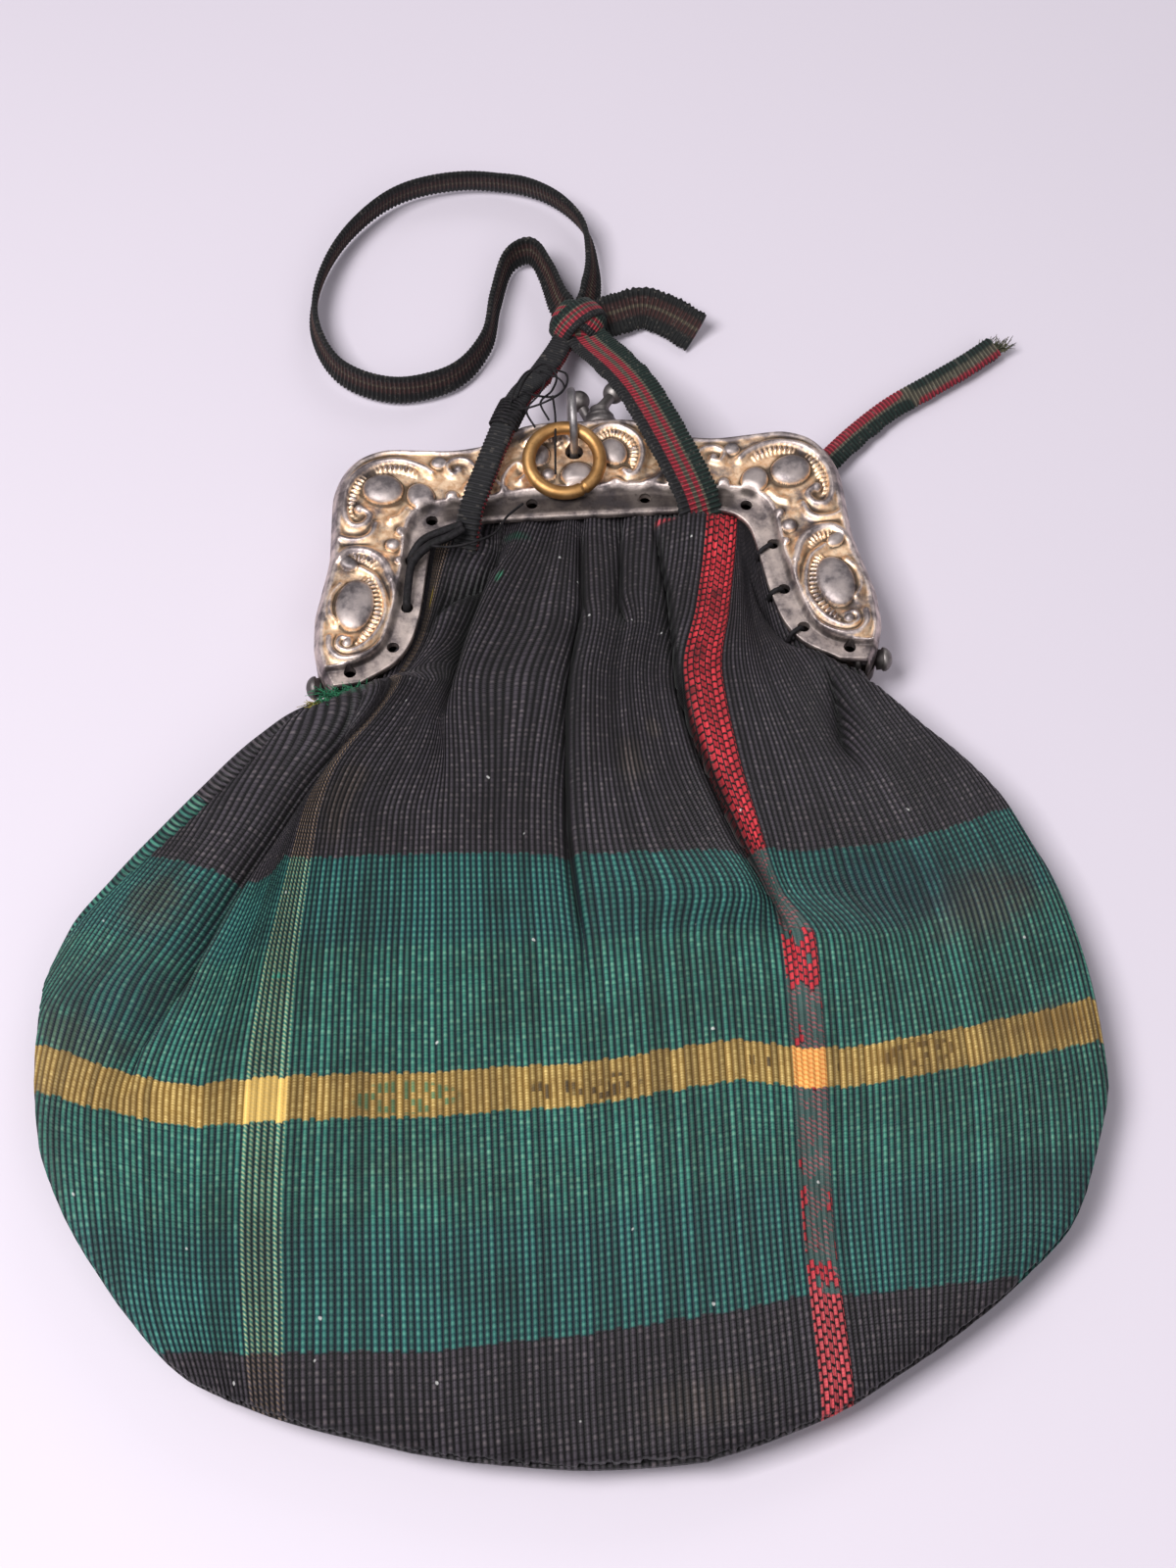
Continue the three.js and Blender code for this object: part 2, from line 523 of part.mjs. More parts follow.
function knot() {
  const geometry = new THREE.SphereGeometry(1, 14, 8).scale(KNOT.halfX, KNOT.halfY, KNOT.halfZ);
  return geometryOf(solid(geometry.translate(KNOT.x, KNOT.y, KNOT.z)));
}

const purse = new THREE.Group();
function add(name, geometry, material) {
  const mesh = new THREE.Mesh(geometry, new THREE.MeshStandardMaterial(MATERIALS[material]));
  mesh.name = name;
  geometry.computeVertexNormals();
  purse.add(mesh);
}

add("bag_front", panel(FRONT_RIBS, (x, y) => frontTop(x, y) - CLOTH), "silk_front");
add("bag_back", panel(BACK_RIBS, backLow), "silk_back");
add("frame_front", frameHalf(1, CLASPS.front), "silver");
add("frame_back", frameHalf(-1, CLASPS.back), "silver");
add("hinge_rivet_left", rivet(-1), "silver");
add("hinge_rivet_right", rivet(1), "silver");
add("ring_link", ringLink(), "silver");
add("hanging_ring", hangingRing(), "brass");

// The purse without its ribbon is centred over the origin and stands on Z = 0.
const box = new THREE.Box3().setFromObject(purse);
STRANDS.forEach((s) => add(s.name, strand(s), "ribbon"));
add("ribbon_knot", knot(), "ribbon");
const shift = box.getCenter(new THREE.Vector3());
purse.children.forEach((mesh) => mesh.geometry.translate(-shift.x, -shift.y, -box.min.z));

export default purse;
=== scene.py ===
import math

import bpy
import numpy as np
from mathutils import Matrix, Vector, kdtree


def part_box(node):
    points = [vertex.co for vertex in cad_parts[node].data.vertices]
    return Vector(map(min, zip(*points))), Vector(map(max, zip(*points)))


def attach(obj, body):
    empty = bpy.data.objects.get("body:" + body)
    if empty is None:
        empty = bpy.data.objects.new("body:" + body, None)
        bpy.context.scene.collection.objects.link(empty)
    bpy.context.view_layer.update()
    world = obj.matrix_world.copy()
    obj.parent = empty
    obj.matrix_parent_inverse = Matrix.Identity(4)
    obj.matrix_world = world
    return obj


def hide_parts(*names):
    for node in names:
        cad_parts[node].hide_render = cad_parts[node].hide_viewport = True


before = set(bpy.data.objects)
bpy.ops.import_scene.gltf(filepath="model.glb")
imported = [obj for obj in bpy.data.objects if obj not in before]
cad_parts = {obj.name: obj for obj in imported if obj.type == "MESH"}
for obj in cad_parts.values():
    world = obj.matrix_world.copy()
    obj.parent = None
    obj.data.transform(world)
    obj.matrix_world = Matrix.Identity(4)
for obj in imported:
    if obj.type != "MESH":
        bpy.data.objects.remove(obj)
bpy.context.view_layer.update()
MM = 0.001


def table(names, *rows):
    """A table as named columns."""
    return dict(zip(names.split(), np.array(rows, float).T))


# Heights above the table: where the frame's halves part, and the cloth at the mouth and the seam.
PARTING = 4.6
MOUTH_FRONT = 6.9
MOUTH_BACK = 2.6
SEAM_FRONT = 5.0
SEAM_BACK = 4.2
# The cloth walls' thickness, and at the seam; they reach from under the frame's bar to the bottom.
CLOTH = 1.1
SEAM_THICK = 0.35
BAR_TUCK_Y = 20.6
BAG_BOTTOM_Y = -85
# Where the rims go over from the seam's height to the mouth's. Beside the mouth the cloth stays flat.
FRONT_RIM_Y = (-11, -3)
BACK_RIM_Y = (-6, -2)
MOUTH_CLEAR = 1.4
MOUTH_CLEAR_Y = (-5, -2.5)
# The belly across: the power of its bulge at the widest part and at the mouth, and how round it is.
BELLY_POWER = (2.4, 5)
BELLY_POWER_Y = (-14, 2)
BELLY_ROUND = 0.6
# The back lies on the table where the belly is this tall, and rises from there to the rim.
BACK_FLAT_TALL = 6.25
BACK_RISES = (0.3, 1)
# Between these shares of fullness the folds and the cloth's thickness set in, from the seam inwards.
FOLDS_SET_IN = (0.05, 0.45)
THICK_SETS_IN = (0, 0.35)

# The bag from the mouth to the bottom: the cloth's edges, and how high the belly is in the middle.
SECTIONS = table(
    "y left right crown",
    (18.6, -15, 15, 6.3),
    (16.5, -17.2, 17, 6.8),
    (12, -17.9, 17.9, 8.4),
    (6, -18.9, 18.9, 10.4),
    (2, -20.6, 20.6, 11.5),
    (-0.7, -22.4, 23.4, 12.2),
    (-2.2, -25.2, 26.8, 12.5),
    (-4, -31, 28.4, 12.9),
    (-8, -36.3, 32.4, 13.7),
    (-13, -41.2, 37.2, 14.5),
    (-18, -46, 40.6, 15.1),
    (-23, -50.8, 42.6, 15.5),
    (-28, -55.1, 44.4, 15.8),
    (-35, -57.7, 45.9, 16),
    (-42, -58, 46.6, 15.9),
    (-50, -57.3, 46.3, 15.5),
    (-57, -55, 44.2, 14.7),
    (-64, -51.1, 41, 13.4),
    (-70, -46.9, 34.7, 11.8),
    (-74, -43.3, 29.2, 10.5),
    (-78, -36, 22.6, 9),
    (-81, -27.5, 17, 7.8),
    (-83.5, -18, 10, 6.9),
    (-85, -8, 4, 6.2),
)
# How far the cloth runs on under the frame, beside the mouth.
TUCK = table("y far", (-4, 0), (-2.2, 0.6), (-0.7, 0.6), (2, 1.7))

# Ribs of the cloth, named by where they cross the widest part: where each is at RIB_LEVELS.
RIB_LEVELS = (21, 14, 4, -6, -16, -26, -33, -38, -50, -66, -80)
RIBS = {
    -64: (-38, -38, -40, -43, -49, -55.5, -60, -63.5, -65, -63, -59),
    -58: (-32, -32, -34, -37, -43, -49.5, -54, -57.5, -59, -57, -53),
    -46: (-17.4, -18, -20, -24, -30, -35.3, -39, -41.9, -46.5, -46, -42),
    -34.5: (-14, -15.5, -18, -23.5, -28.8, -31.2, -32.5, -33.3, -34.5, -35.3, -35.3),
    -21: (-7.4, -9.6, -13.5, -17.8, -19.2, -20, -20.3, -20.6, -21, -21.3, -21.5),
    -4: (-0.5, -0.8, -1.3, -3.1, -4, -4.4, -4.2, -4, -4, -4.2, -4.5),
    14.5: (13.2, 12.2, 10.5, 8.7, 9.6, 12.4, 14.7, 15, 14.8, 14.3, 14.9),
    18: (16.6, 15.6, 13.9, 12.2, 12.8, 14.3, 15.8, 18.3, 18, 17.2, 18),
    32: (17.8, 17.9, 18.8, 21.5, 25.5, 28.8, 30.5, 31.2, 32, 31, 29),
    47: (33, 33, 34.5, 37, 41, 44.5, 46, 46.6, 47, 46, 44),
}
RIB_PITCH = 0.62
RIB_RISE = 0.27
FIRST_RIB = -63.18
LAST_RIB = 46.6
# Height of a rib's surface at each of its mesh columns, as a share of RIB_RISE: groove, then crest.
RIB_COLUMNS = (-0.75, 0.22, 0.22)
BACK_PITCH = 0.9
# Ribs stop a little short of the seam, each by its own amount.
SERRATED = 0.3
SERRATED_SEED = 7
# Mesh rows down the panels. The first and last lie beyond the cloth, and the panel's edge cuts them off.
FRONT_ROWS = (30, *np.arange(20.3, -42, -1.05), *np.arange(-42.5, -84.8, -1.6), -99)
BACK_ROWS = (30, *np.arange(20.3, -84.6, -1.6), -99)
# Rows this near the edge move onto it. The edge is looked for in steps.
ROW_SNAP = 0.3
EDGE_STEP = 0.1

# Where the tartan's weft lines cross the ribs.
GREEN_TOP = table(
    "rib y", (-58.5, -21), (-53.2, -24.3), (-49, -26.6), (-43.2, -28.5), (-40, -27.4), (-38.1, -25.7),
    (-18.2, -26.8), (-2.5, -28),
    (13.2, -28), (21.2, -28.4), (29, -27.4), (35.6, -25.3), (40.8, -22.7), (45.5, -19.8),
)
YELLOW_LINE = table(
    "rib y", (-58, -42), (-55, -44.2), (-50.8, -46.8), (-45.4, -49.3), (-40.6, -50.9), (-34.3, -51.2),
    (-18.3, -52.2), (-4.5, -52.1), (9.3, -50.3),
    (15.7, -51.4), (20.3, -51.4), (27.8, -50), (34.9, -48.3), (41.2, -46.4), (46, -44),
)
GREEN_LOW = table(
    "rib y", (-48.7, -71.4), (-45.8, -72.2), (-36.4, -73.7), (-19.6, -75), (-5.5, -74.4),
    (7.6, -73.1), (14.8, -71.7), (18.7, -72), (26.9, -71.3), (32, -70.6), (36.4, -69.8),
)
# The same lines in the flat cloth.
WEFT_TOP = -27
WEFT_YELLOW = -51
WEFT_LOW = -73

# The main folds, each a furrow along a line from the mouth down. The cloth east of it laps over by lip.
FOLDS = {
    "left gather": (0.5, table(
        "x y deep wide", (-9.8, 16, 1.8, 0.9), (-10.5, 13, 2.8, 1.1), (-11.7, 8.5, 4, 2),
        (-12.8, 5, 4.4, 2.4), (-13.8, 1.5, 4, 2.6), (-14.9, -3, 2.6, 2.8), (-16.6, -10, 0, 2.8),
    )),
    "left pocket": (0.7, table(
        "x y deep wide", (-10.3, 12.4, 0.8, 1.2), (-12.5, 10.7, 2.2, 2.6), (-14.4, 9.2, 2.6, 3.6),
        (-16.2, 7.4, 2.2, 3.6), (-17.9, 5.6, 1.2, 3),
    )),
    "centre crease": (0.5, table(
        "x y deep wide", (-0.6, 17, 1.6, 0.8), (-0.8, 13, 2.2, 0.8), (-1, 5.8, 2.8, 0.8),
        (-2.1, 0.8, 3.2, 0.8), (-3.4, -7.7, 3.4, 0.9), (-4, -17, 3, 1), (-4.4, -26, 2.4, 1.1),
        (-4, -35, 1.2, 1.6), (-3.8, -42, 0, 2.4),
    )),
    "mouth pleat": (0.5, table(
        "x y deep wide", (3.8, 17, 1.6, 0.8), (3.6, 12, 2.6, 0.9), (3.1, 6.5, 2.8, 1.2), (3, 2, 0, 1.6),
    )),
    "red stripe fold": (0.8, table(
        "x y deep wide", (7.4, 17, 1.8, 0.8), (7.8, 13, 2.4, 0.9), (8.2, 6.5, 2.8, 1), (8, 0, 3, 1.1),
        (8.1, -7, 3.4, 1.2), (9.3, -14.4, 3.4, 1.2), (12, -24, 3.2, 1.4), (14.6, -31.7, 2.2, 1.6),
        (15.8, -36, 1, 2), (16.5, -41, 0, 2.6),
    )),
    "right arm dimple": (0, table(
        "x y deep wide", (23.6, -4.8, 1.5, 1.3), (24, -9.5, 3, 1.5), (23.9, -13.6, 2.6, 1.8),
        (25, -18, 0, 2.6),
    )),
    "left flap fold": (1.1, table(
        "x y deep wide", (-25, -6.5, 1.5, 1.4), (-27, -11.6, 3, 1.6), (-30.5, -18, 4, 1.8),
        (-33.7, -23.7, 4, 2), (-37.8, -30.2, 3.2, 2.4), (-41.9, -37.8, 2, 3), (-46.4, -44, 0.8, 4),
        (-48.5, -50, 0, 4.5),
    )),
}
# Between the left edge and these folds the ribs are drawn into the folds: how strongly, and between
# which heights that sets in.
BUNCHED = (
    ("left gather", 2.8, -22, 4), ("centre crease", 1.7, -22, 4), ("mouth pleat", 1.4, 1, 8),
    ("red stripe fold", 1.4, 1, 8),
)
BUNCHED_MOST = 0.92
# How far beside a fold's line the cloth is darkened with painted shade, and as a share of its width on
# the west.
FOLD_SHADE = 0.45
FOLD_SHADE_WEST = 0.4
# A fold's steep edge, the reach of its lip, and how far the lip is drawn over.
FOLD_EDGE = 0.3
LIP_REACH = 3.0
FOLD_LAP = 0.9
LAP_EAST = 1.2
LAP_WEST = 0.8
LAP_WEST_SHARE = 0.3
# West of its line the fold is mostly slope, and the lip's share there is a hollow.
SLOPE_SHARE = 0.8
LIP_WEST = -0.6
# A dimple has no lip: half of it is slope and half a narrow point.
DIMPLE_SLOPE = 0.5
DIMPLE_POINT = 0.24
# The seam's edge is turned up along the left shoulder: how far in it lies, its height and its radius.
SHOULDER = table(
    "y inset z radius", (-3.4, 0.5, 7.6, 0.3), (-6, 0.8, 7.2, 1), (-12, 0.9, 6.8, 1.4),
    (-19, 0.9, 6.3, 1.3), (-26, 0.8, 5.6, 0.9), (-33, 0.4, 5, 0.3),
)
SHOULDER_GREEN_Y = -14.5
SHOULDER_SLANT = 0.9
# It takes its colours from cloth without stripes, this far above and below the top of the green.
SHOULDER_FROM = 32
SHOULDER_OFF = 14
SHOULDER_REPEAT = 5
# How deep in a fold the roll counts, for a little painted shade on it.
SHOULDER_SHADE = 0.3
SHOULDER_GRID = (260, 16)
# Small gathers from the mouth down, as waves across the ribs.
GATHER_WAVE = 7.5
GATHER_RISE = 0.45
GATHER_Y = (-30, 8)
# The cloth's top edge stands up in front of the right strand.
MOUTH_LIP = dict(x=11, half=4.4, rise=1.9, top=(18.9, 17.7), low=(11.5, 16.5))

# Right half of the frame from the crest to the arm's end: outer edge and sewing edge.
FRAME = table(
    "outx outy inx iny",
    (0, 32, 0, 18.8),
    (3.5, 32, 3.5, 18.8),
    (6.5, 31.6, 6.5, 18.8),
    (9, 30, 9, 18.8),
    (11.5, 28.9, 11, 18.8),
    (15, 28.5, 13, 18.7),
    (18.5, 28.8, 14.6, 18.5),
    (22, 29.1, 15.8, 18),
    (25, 28.2, 16.6, 17.3),
    (27, 25.8, 17.1, 16.6),
    (28, 22.5, 17.5, 15.6),
    (28.2, 19, 17.8, 14),
    (28.4, 15, 18.1, 12),
    (29.3, 10.5, 18.6, 8.5),
    (30.1, 6.5, 19.1, 6),
    (30.2, 3.2, 20, 3.2),
    (29.6, 0.4, 21.6, 0.9),
    (28.4, -1.8, 25.3, -1.5),
)
# Mesh rows along and across each half: the front one is finer. Their steps are measured on FRAME_FINE.
FRAME_GRID = {1: (860, 80), -1: (420, 44)}
FRAME_FINE = 4001
# Heights from the parting.
FLANGE_RISE = 3.6
BAND_RISE = 4.2
PLATE_UNDER = 2.8
WALL_FOOT = 0.15
# Soot in the chased work: how far off a rise it gathers, as a share of the width, and how much lies
# on the flange, on its bar and under the arms' ends.
HOLLOW_REACH = 0.06
FLANGE_SOOT = 0.095
BAR_SOOT = 0.1
END_SOOT = 0.2
# The outer wall takes this share of the width. Under the plate the section runs in, down and round it.
WALL_SHARE = 0.1
UNDER = (
    *((share, PLATE_UNDER) for share in np.linspace(1, WALL_SHARE, 9)),
    (WALL_SHARE, 1.4), (WALL_SHARE, WALL_FOOT), (0, WALL_FOOT), (0, 0.8), (0, 1.6), (0, 2.4),
)
# Rims beside the wall and at the band's inner edge: rise, place and width; then the outer edge's drop.
OUTER_RIM = (0.3, 0.07, 0.035)
INNER_RIM = (0.22, 0.94, 0.028)
EDGE_DROP = 1.2
# How far in from the outer edge the raised band reaches, by station.
BAND_END = table("place share", (0, 0.79), (13, 0.79), (14, 0.78), (15, 0.76), (16, 0.7), (17, 0.6))
BAND_ROUND = 14.8
BAND_ROUND_LONG = 1.4
# Shares of the width: the band's step down, and where the chased work begins and ends on it.
BAND_STEP = (0.94, 1.04)
CHASED_FROM = (0.06, 0.13)
CHASED_TO = (0.88, 0.97)
# The gilding is rubbed off tops between these heights, and the soot off the flange's edge.
GILT_OFF = (0.35, 0.62)
GILT_LOST = 0.8
SOOT_OFF = (0.94, 0.985)
SOOT_LOST = 0.6
# Where the bar and the arms' ends begin.
BAR_X = (17, 15)
BAR_Y = (22.4, 21.2)
ENDS_FROM = (15.9, 16.5)
STITCH_HOLE = 1.3
STITCH_HOLES = (
    (6.2, 20.6), (12, 20.6), (17.2, 19), (19.6, 13.6), (20.2, 7.6), (21.8, 2.6), (26.4, -0.3),
)
RIVET_Y = 0.3
RIVET_NOTCH = 0.95
LINK_HOLE = 1.0
LINK_PLATE_Y = 27.0
LINK_WALL_Y = (29.5, 33)
LINK_WALL_Z = 5.45
# Bars that cut the holes: heights from the parting, how far out the hinge notches run, and their sides.
CUT_RISE = (2.2, 6)
NOTCH_X = (26, 31)
CUT_SIDES = 20

# Chased relief of the arms and corners, drawn on the right side and mirrored.
SIDE_RIDGES = {
    "corner shell": (0.5, 0.42, (
        (17, 24.8), (18, 25.7), (19.9, 26.6), (21.7, 26.8), (23.8, 26.3), (25.6, 24.7), (26.6, 22.3),
        (26.6, 19.6), (25.8, 18.2), (24.5, 18.3), (23.9, 19.5), (24.8, 20.4),
    )),
    "small curl": (0.4, 0.36, (
        (12.1, 25.1), (12.9, 26.3), (14.2, 26.6), (15.3, 25.8), (14.8, 24.6), (13.9, 24.9),
    )),
    "stem": (0.42, 0.4, ((23.3, 18.3), (23.8, 16.9), (24.9, 16.3), (26.4, 16.4), (27.6, 17))),
    "leaf": (0.55, 0.55, ((27.2, 14), (26, 14.9), (24.1, 14.6), (22.6, 13.2), (21.7, 10.7))),
    "outer scroll": (0.5, 0.42, (
        (21.7, 10.7), (21.2, 7.8), (21.7, 4.9), (22.9, 2.6), (25, 1.2), (27.2, 1.0),
        (28.4, 2.2), (28.5, 3.7),
    )),
    "inner scroll": (0.42, 0.36, (
        (25.1, 12.5), (23.5, 11.2), (22.7, 9.1), (22.5, 6.6), (23.3, 4.4), (24.7, 2.7), (26.4, 1.9),
        (27.6, 2.6), (27.3, 3.6), (26.4, 3.4),
    )),
    "small scroll": (0.38, 0.36, ((27.2, 10.5), (28.2, 9.1), (28.4, 7), (27.7, 5.6))),
    "bar scroll": (0.42, 0.38, ((9, 22.2), (10.6, 23.6), (12.4, 23.5), (13.4, 22.3), (12.6, 21.6))),
    "corner stem": (0.36, 0.36, ((19.8, 20.2), (20.6, 19.2), (21.6, 18.8))),
}
SIDE_BOSSES = table(
    "x y across long turn rise",
    (22.4, 22.9, 2.3, 2.0, 20, 0.8),
    (18.3, 21.8, 1.5, 1.8, -25, 0.65),
    (25.7, 7.7, 2.15, 3.3, 8, 0.85),
    (16.2, 26.2, 0.9, 0.8, 0, 0.45),
    (26.3, 13.2, 1.1, 0.8, 35, 0.5),
)
SIDE_BEADS = table(
    "x y across rise",
    (20.6, 17.2, 0.6, 0.5),
    (21.5, 15.4, 0.85, 0.6),
    (20.9, 13.4, 0.5, 0.45),
    (14.9, 21.6, 0.75, 0.5),
    (25, 20.4, 0.6, 0.55),
    (26.6, 2.9, 0.6, 0.5),
    (14.1, 25.2, 0.5, 0.45),
)
# Rows of flutes beside a ridge: which ridge, how far off its line, to which side, first and last point.
SIDE_FLUTES = (
    ("corner shell", 0.95, -1, 1.0, 3.8),
    ("corner shell", 0.95, -1, 4.6, 7.2),
    ("inner scroll", 0.8, 1, 0.6, 5.5),
    ("leaf", 0.9, 1, 0.6, 3.0),
)
FLUTE_PITCH = 0.64
FLUTE_RISE = 0.42
FLUTE_LOW = 0.2
FLUTE_HALF = 0.5
# Points that a ridge's line gets for each of its own, and how many of them a row of flutes takes to end.
RIDGE_POINTS = 6
FLUTES_END = 3
# The back half is chased flatter, so that it lies on the table.
RELIEF = {1: 1.25, -1: 0.45}
RIDGE_WIDE = 1.2
# How far from its middle a boss or bead is plain metal, and how plain beads are.
BOSS_PLAIN = (1.0, 0.75)
BEAD_PLAIN = (1.0, 0.7)
BEAD_SHARE = 0.6
# The crest's relief isn't mirrored.
CREST_RIDGES = {
    "shell": (0.5, 0.42, (
        (0.4, 28.4), (1.7, 29.8), (3.7, 30.2), (5.7, 28.8), (6.4, 26.5), (5.7, 24),
        (4.7, 23.2), (4.1, 23.9),
    )),
    "curl": (0.42, 0.36, ((2, 21.9), (3.2, 22.6), (4, 21.5), (3.2, 20.9), (2.5, 21.3))),
    "left curl": (0.45, 0.4, ((-9.4, 21.2), (-9.1, 23.8), (-7.6, 25.6), (-6.6, 24.3), (-7.3, 23.2))),
    "left leaf": (0.45, 0.45, ((-6.4, 28.6), (-4.6, 29.8), (-2.6, 29.6), (-1.6, 28.2))),
    "right leaf": (0.42, 0.4, ((7.2, 28.2), (8.6, 26.6), (8.9, 24.6), (7.8, 22.8), (6.6, 22.2))),
}
CREST_BOSSES = table(
    "x y across long turn rise",
    (3.1, 26.6, 1.5, 1.9, 20, 0.75),
    (-1, 23.6, 1.9, 1.7, 0, 0.8),
    (-5.2, 26.6, 1.3, 1.5, -20, 0.6),
)
CREST_BEADS = table(
    "x y across rise",
    (-4.2, 23.9, 0.8, 0.6),
    (-2.4, 21.6, 0.65, 0.5),
    (4.6, 23.7, 0.5, 0.45),
    (0.9, 21.2, 0.6, 0.5),
    (6.3, 21.4, 0.5, 0.45),
)
CREST_FLUTES = (
    ("shell", 0.95, -1, 0.4, 5.2),
    ("left leaf", 0.8, -1, 0.3, 2.8),
)

# Rivet turned about its own axis: distance from the purse's middle, and radius.
RIVET_TURNED = (
    (27.2, 0), (27.2, 1.1), (27.3, 1.2), (27.8, 1.2), (27.9, 1.1), (27.9, 0.6), (29.5, 0.6),
    (29.62, 1.1), (30.2, 1.1), (30.25, 1.24), (30.35, 1.3), (30.6, 1.27), (30.85, 1.12), (31.1, 0.85),
    (31.25, 0.55), (31.35, 0),
)
RIVET_HEAD = 31.35

CLASP_X = 2
CLASP_RISE = 2.3
# Collar and neck of a clasp post: height along Y, and radius.
CLASP_TURNED = (
    (31.5, 0), (31.5, 1.7), (31.7, 1.9), (32.3, 1.9), (32.5, 1.72), (32.62, 1.55), (32.8, 1.66),
    (33.1, 1.66), (33.25, 1.4), (33.4, 1.15), (33.7, 1.12), (34.05, 1.2), (34.3, 1.1),
    (34.5, 0.8), (34.5, 0),
)
# Radius of the stem from the collar to the ball.
STEM_RADII = (0.8, 0.72, 0.64, 0.608, 0.624, 0.64, 0.48)
STEM_SINKS = 0.4
BALL_RADIUS = 1.25
BALLS = {"front": (3.9, 37.3, 1.5), "back": (0, 38.6, 1.3)}

LINK = dict(x=-1.2, y=30.4, z=9.3, half_y=3.5, half_z=4.1, wire=0.45)
RING = dict(x=-2.4, y=24.9, z=10.1, radius=3.9, wire=0.75, tilt=13, split=-62, nick=0.3, nick_wide=1.6)

RIBBON_WIDE = 4.8
RIBBON_FOLDED = 2.6
RIBBON_LOOP = 3.8
RIBBON_THICK = 0.5
RIBBON_RIB = 0.52
# How much the ribs swell, how far the selvedges wander, and how thin they are.
RIB_SWELL = 0.095
SELVEDGE_WANDER = 0.06
SELVEDGE_THIN = 0.45
# A flat tape is dished. One folded lengthwise bends this tightly, over this share of its width each way.
DISHED = 0.22
DISH_LEVEL = 0.3
FOLD_BEND = 0.42
FOLD_TAKES = 0.1
# Mesh: columns across a flat tape, points for each point of a route, and rings for each rib.
TAPE_COLUMNS = 13
ROUTE_POINTS = 12
RIB_RINGS = 4
# The selvedges wander between this many places.
WANDER_PLACES = 40
# Between these shares of its length the long end turns over.
TURNS_OVER = (0.46, 0.6)
# Ribbon routes: middle line, and how far the width is turned up from level.
LEFT_ROUTE = (
    (-13.9, 15.6, 5.8, 0), (-13.4, 17.2, 8.7, 0), (-12.8, 19.2, 10, 0), (-11.2, 23.5, 10.5, 0),
    (-8.7, 30.2, 10.4, 0), (-6.8, 35.6, 8.4, 0), (-4.6, 40.5, 5.6, 0), (-2, 46.3, 3.4, 0),
    (-0.9, 48.8, 3.2, 0),
)
RIGHT_ROUTE = (
    (12.3, 17.9, 6.4, 0), (12.2, 18.3, 8.1, 0), (11.8, 19.4, 9.3, 0), (11.2, 21.2, 9.9, 0),
    (10.3, 23.8, 10.2, 0), (8.5, 29, 10.2, 0), (6.5, 34.8, 9.4, 0), (4.6, 40, 7.4, 0), (2.1, 46, 4.4, 0),
    (1.2, 48.4, 3.6, 0),
)
LOOP_ROUTE = (
    (1.5, 52.2, 3.4, 50), (2.2, 54.2, 3.4, 55), (2.8, 60, 3.1, 70), (1.8, 66.5, 3, 78),
    (-3.2, 72.2, 2.6, 80), (-11.2, 74.2, 2.6, 80), (-19.5, 72.6, 2.6, 80), (-25.6, 67.2, 2.6, 80),
    (-29.3, 60, 2.6, 80), (-30.2, 52.6, 2.6, 80), (-27.4, 45.6, 2.6, 80),
    (-21.4, 42.4, 2.6, 80), (-14.6, 43.6, 2.6, 80), (-10.4, 48.6, 2.6, 80),
    (-9, 55, 2.6, 80), (-7.2, 61, 2.6, 80), (-4.4, 62.2, 3, 78), (-2.6, 58.6, 3.1, 70),
    (-1.6, 54.1, 3.4, 60), (-0.8, 52.2, 3.4, 55),
)
SHORT_END_ROUTE = (
    (2.6, 50.9, 2.8, 40), (4.9, 51.9, 2.6, 40), (8.4, 53.2, 2.1, 40), (11.6, 51.6, 2, 38),
    (14.4, 49.2, 1.9, 35),
)
LONG_END_ROUTE = (
    (26.3, 27.8, 2.2, 20), (28.4, 29.9, 2, 22), (31.4, 33, 1.7, 25), (36, 36.9, 1.5, 30),
    (41.4, 40.2, 1.5, 30), (45.6, 42.8, 1.5, 25), (49, 45.2, 1.5, 20),
)
KNOT = dict(x=0.6, y=50.2, z=3.3, half_x=3.5, half_y=3.2, half_z=2.8)
KNOT_CORE = 0.8
# Mesh rows round each turn of tape, and across it.
KNOT_GRID = (180, 9)
# The turns of tape round the knot: axis, size and width.
KNOT_TURNS = (((0.5, 0.84, 0.12), 0.86, 3.3), ((-0.62, 0.76, 0.1), 0.94, 3.0))
# They close in towards the knot's ends, down to a least share. Their ribs, and half their thickness.
KNOT_CLOSE = 0.75
KNOT_LEAST = 0.1
KNOT_RIBS = 44
KNOT_RIB_RISE = 0.012
KNOT_TAPE_HALF = 0.05
# Marks for the weave: the core's shares across and along, and millimetres along a turn for each radian.
KNOT_CORE_MARKS = (0.9, 4)
KNOT_TURN_LONG = 3.2

# The photograph's camera, in the tables' millimetres.
CAMERA_AT = (-10.673, -152.955, 237.435)
CAMERA_AZIMUTH = -3.5
CAMERA_ELEVATION = 59.0
FOCAL_PIXELS = 2665
IMAGE_HEIGHT = 1600
SENSOR = 36

rivet_low, rivet_high = (np.array(corner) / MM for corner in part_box("hinge_rivet_right"))
SHIFT = np.array([rivet_high[0] - RIVET_HEAD, (rivet_low[1] + rivet_high[1]) / 2 - RIVET_Y, 0])
TURN = 2 * math.pi
# A way that no wire and no axis here runs along.
ASKEW = (0.31, 0.17, 0.93)
# The least radius of a turned body.
POINT = 0.002


def to_row(points):
    """Millimetres of the tables to metres of the row frame."""
    return (np.asarray(points, float) + SHIFT) * MM


def lerp(a, b, t):
    return a + (b - a) * t


def smooth(low, high, v):
    t = np.clip((v - low) / (high - low), 0, 1)
    return t * t * (3 - 2 * t)


def hump(off, wide, power=2):
    """1 in the middle, falling off about wide from it."""
    return np.exp(-(np.abs(off / wide) ** power))


def unit(vectors):
    """Vectors made one long."""
    return vectors / np.linalg.norm(vectors, axis=-1, keepdims=True)


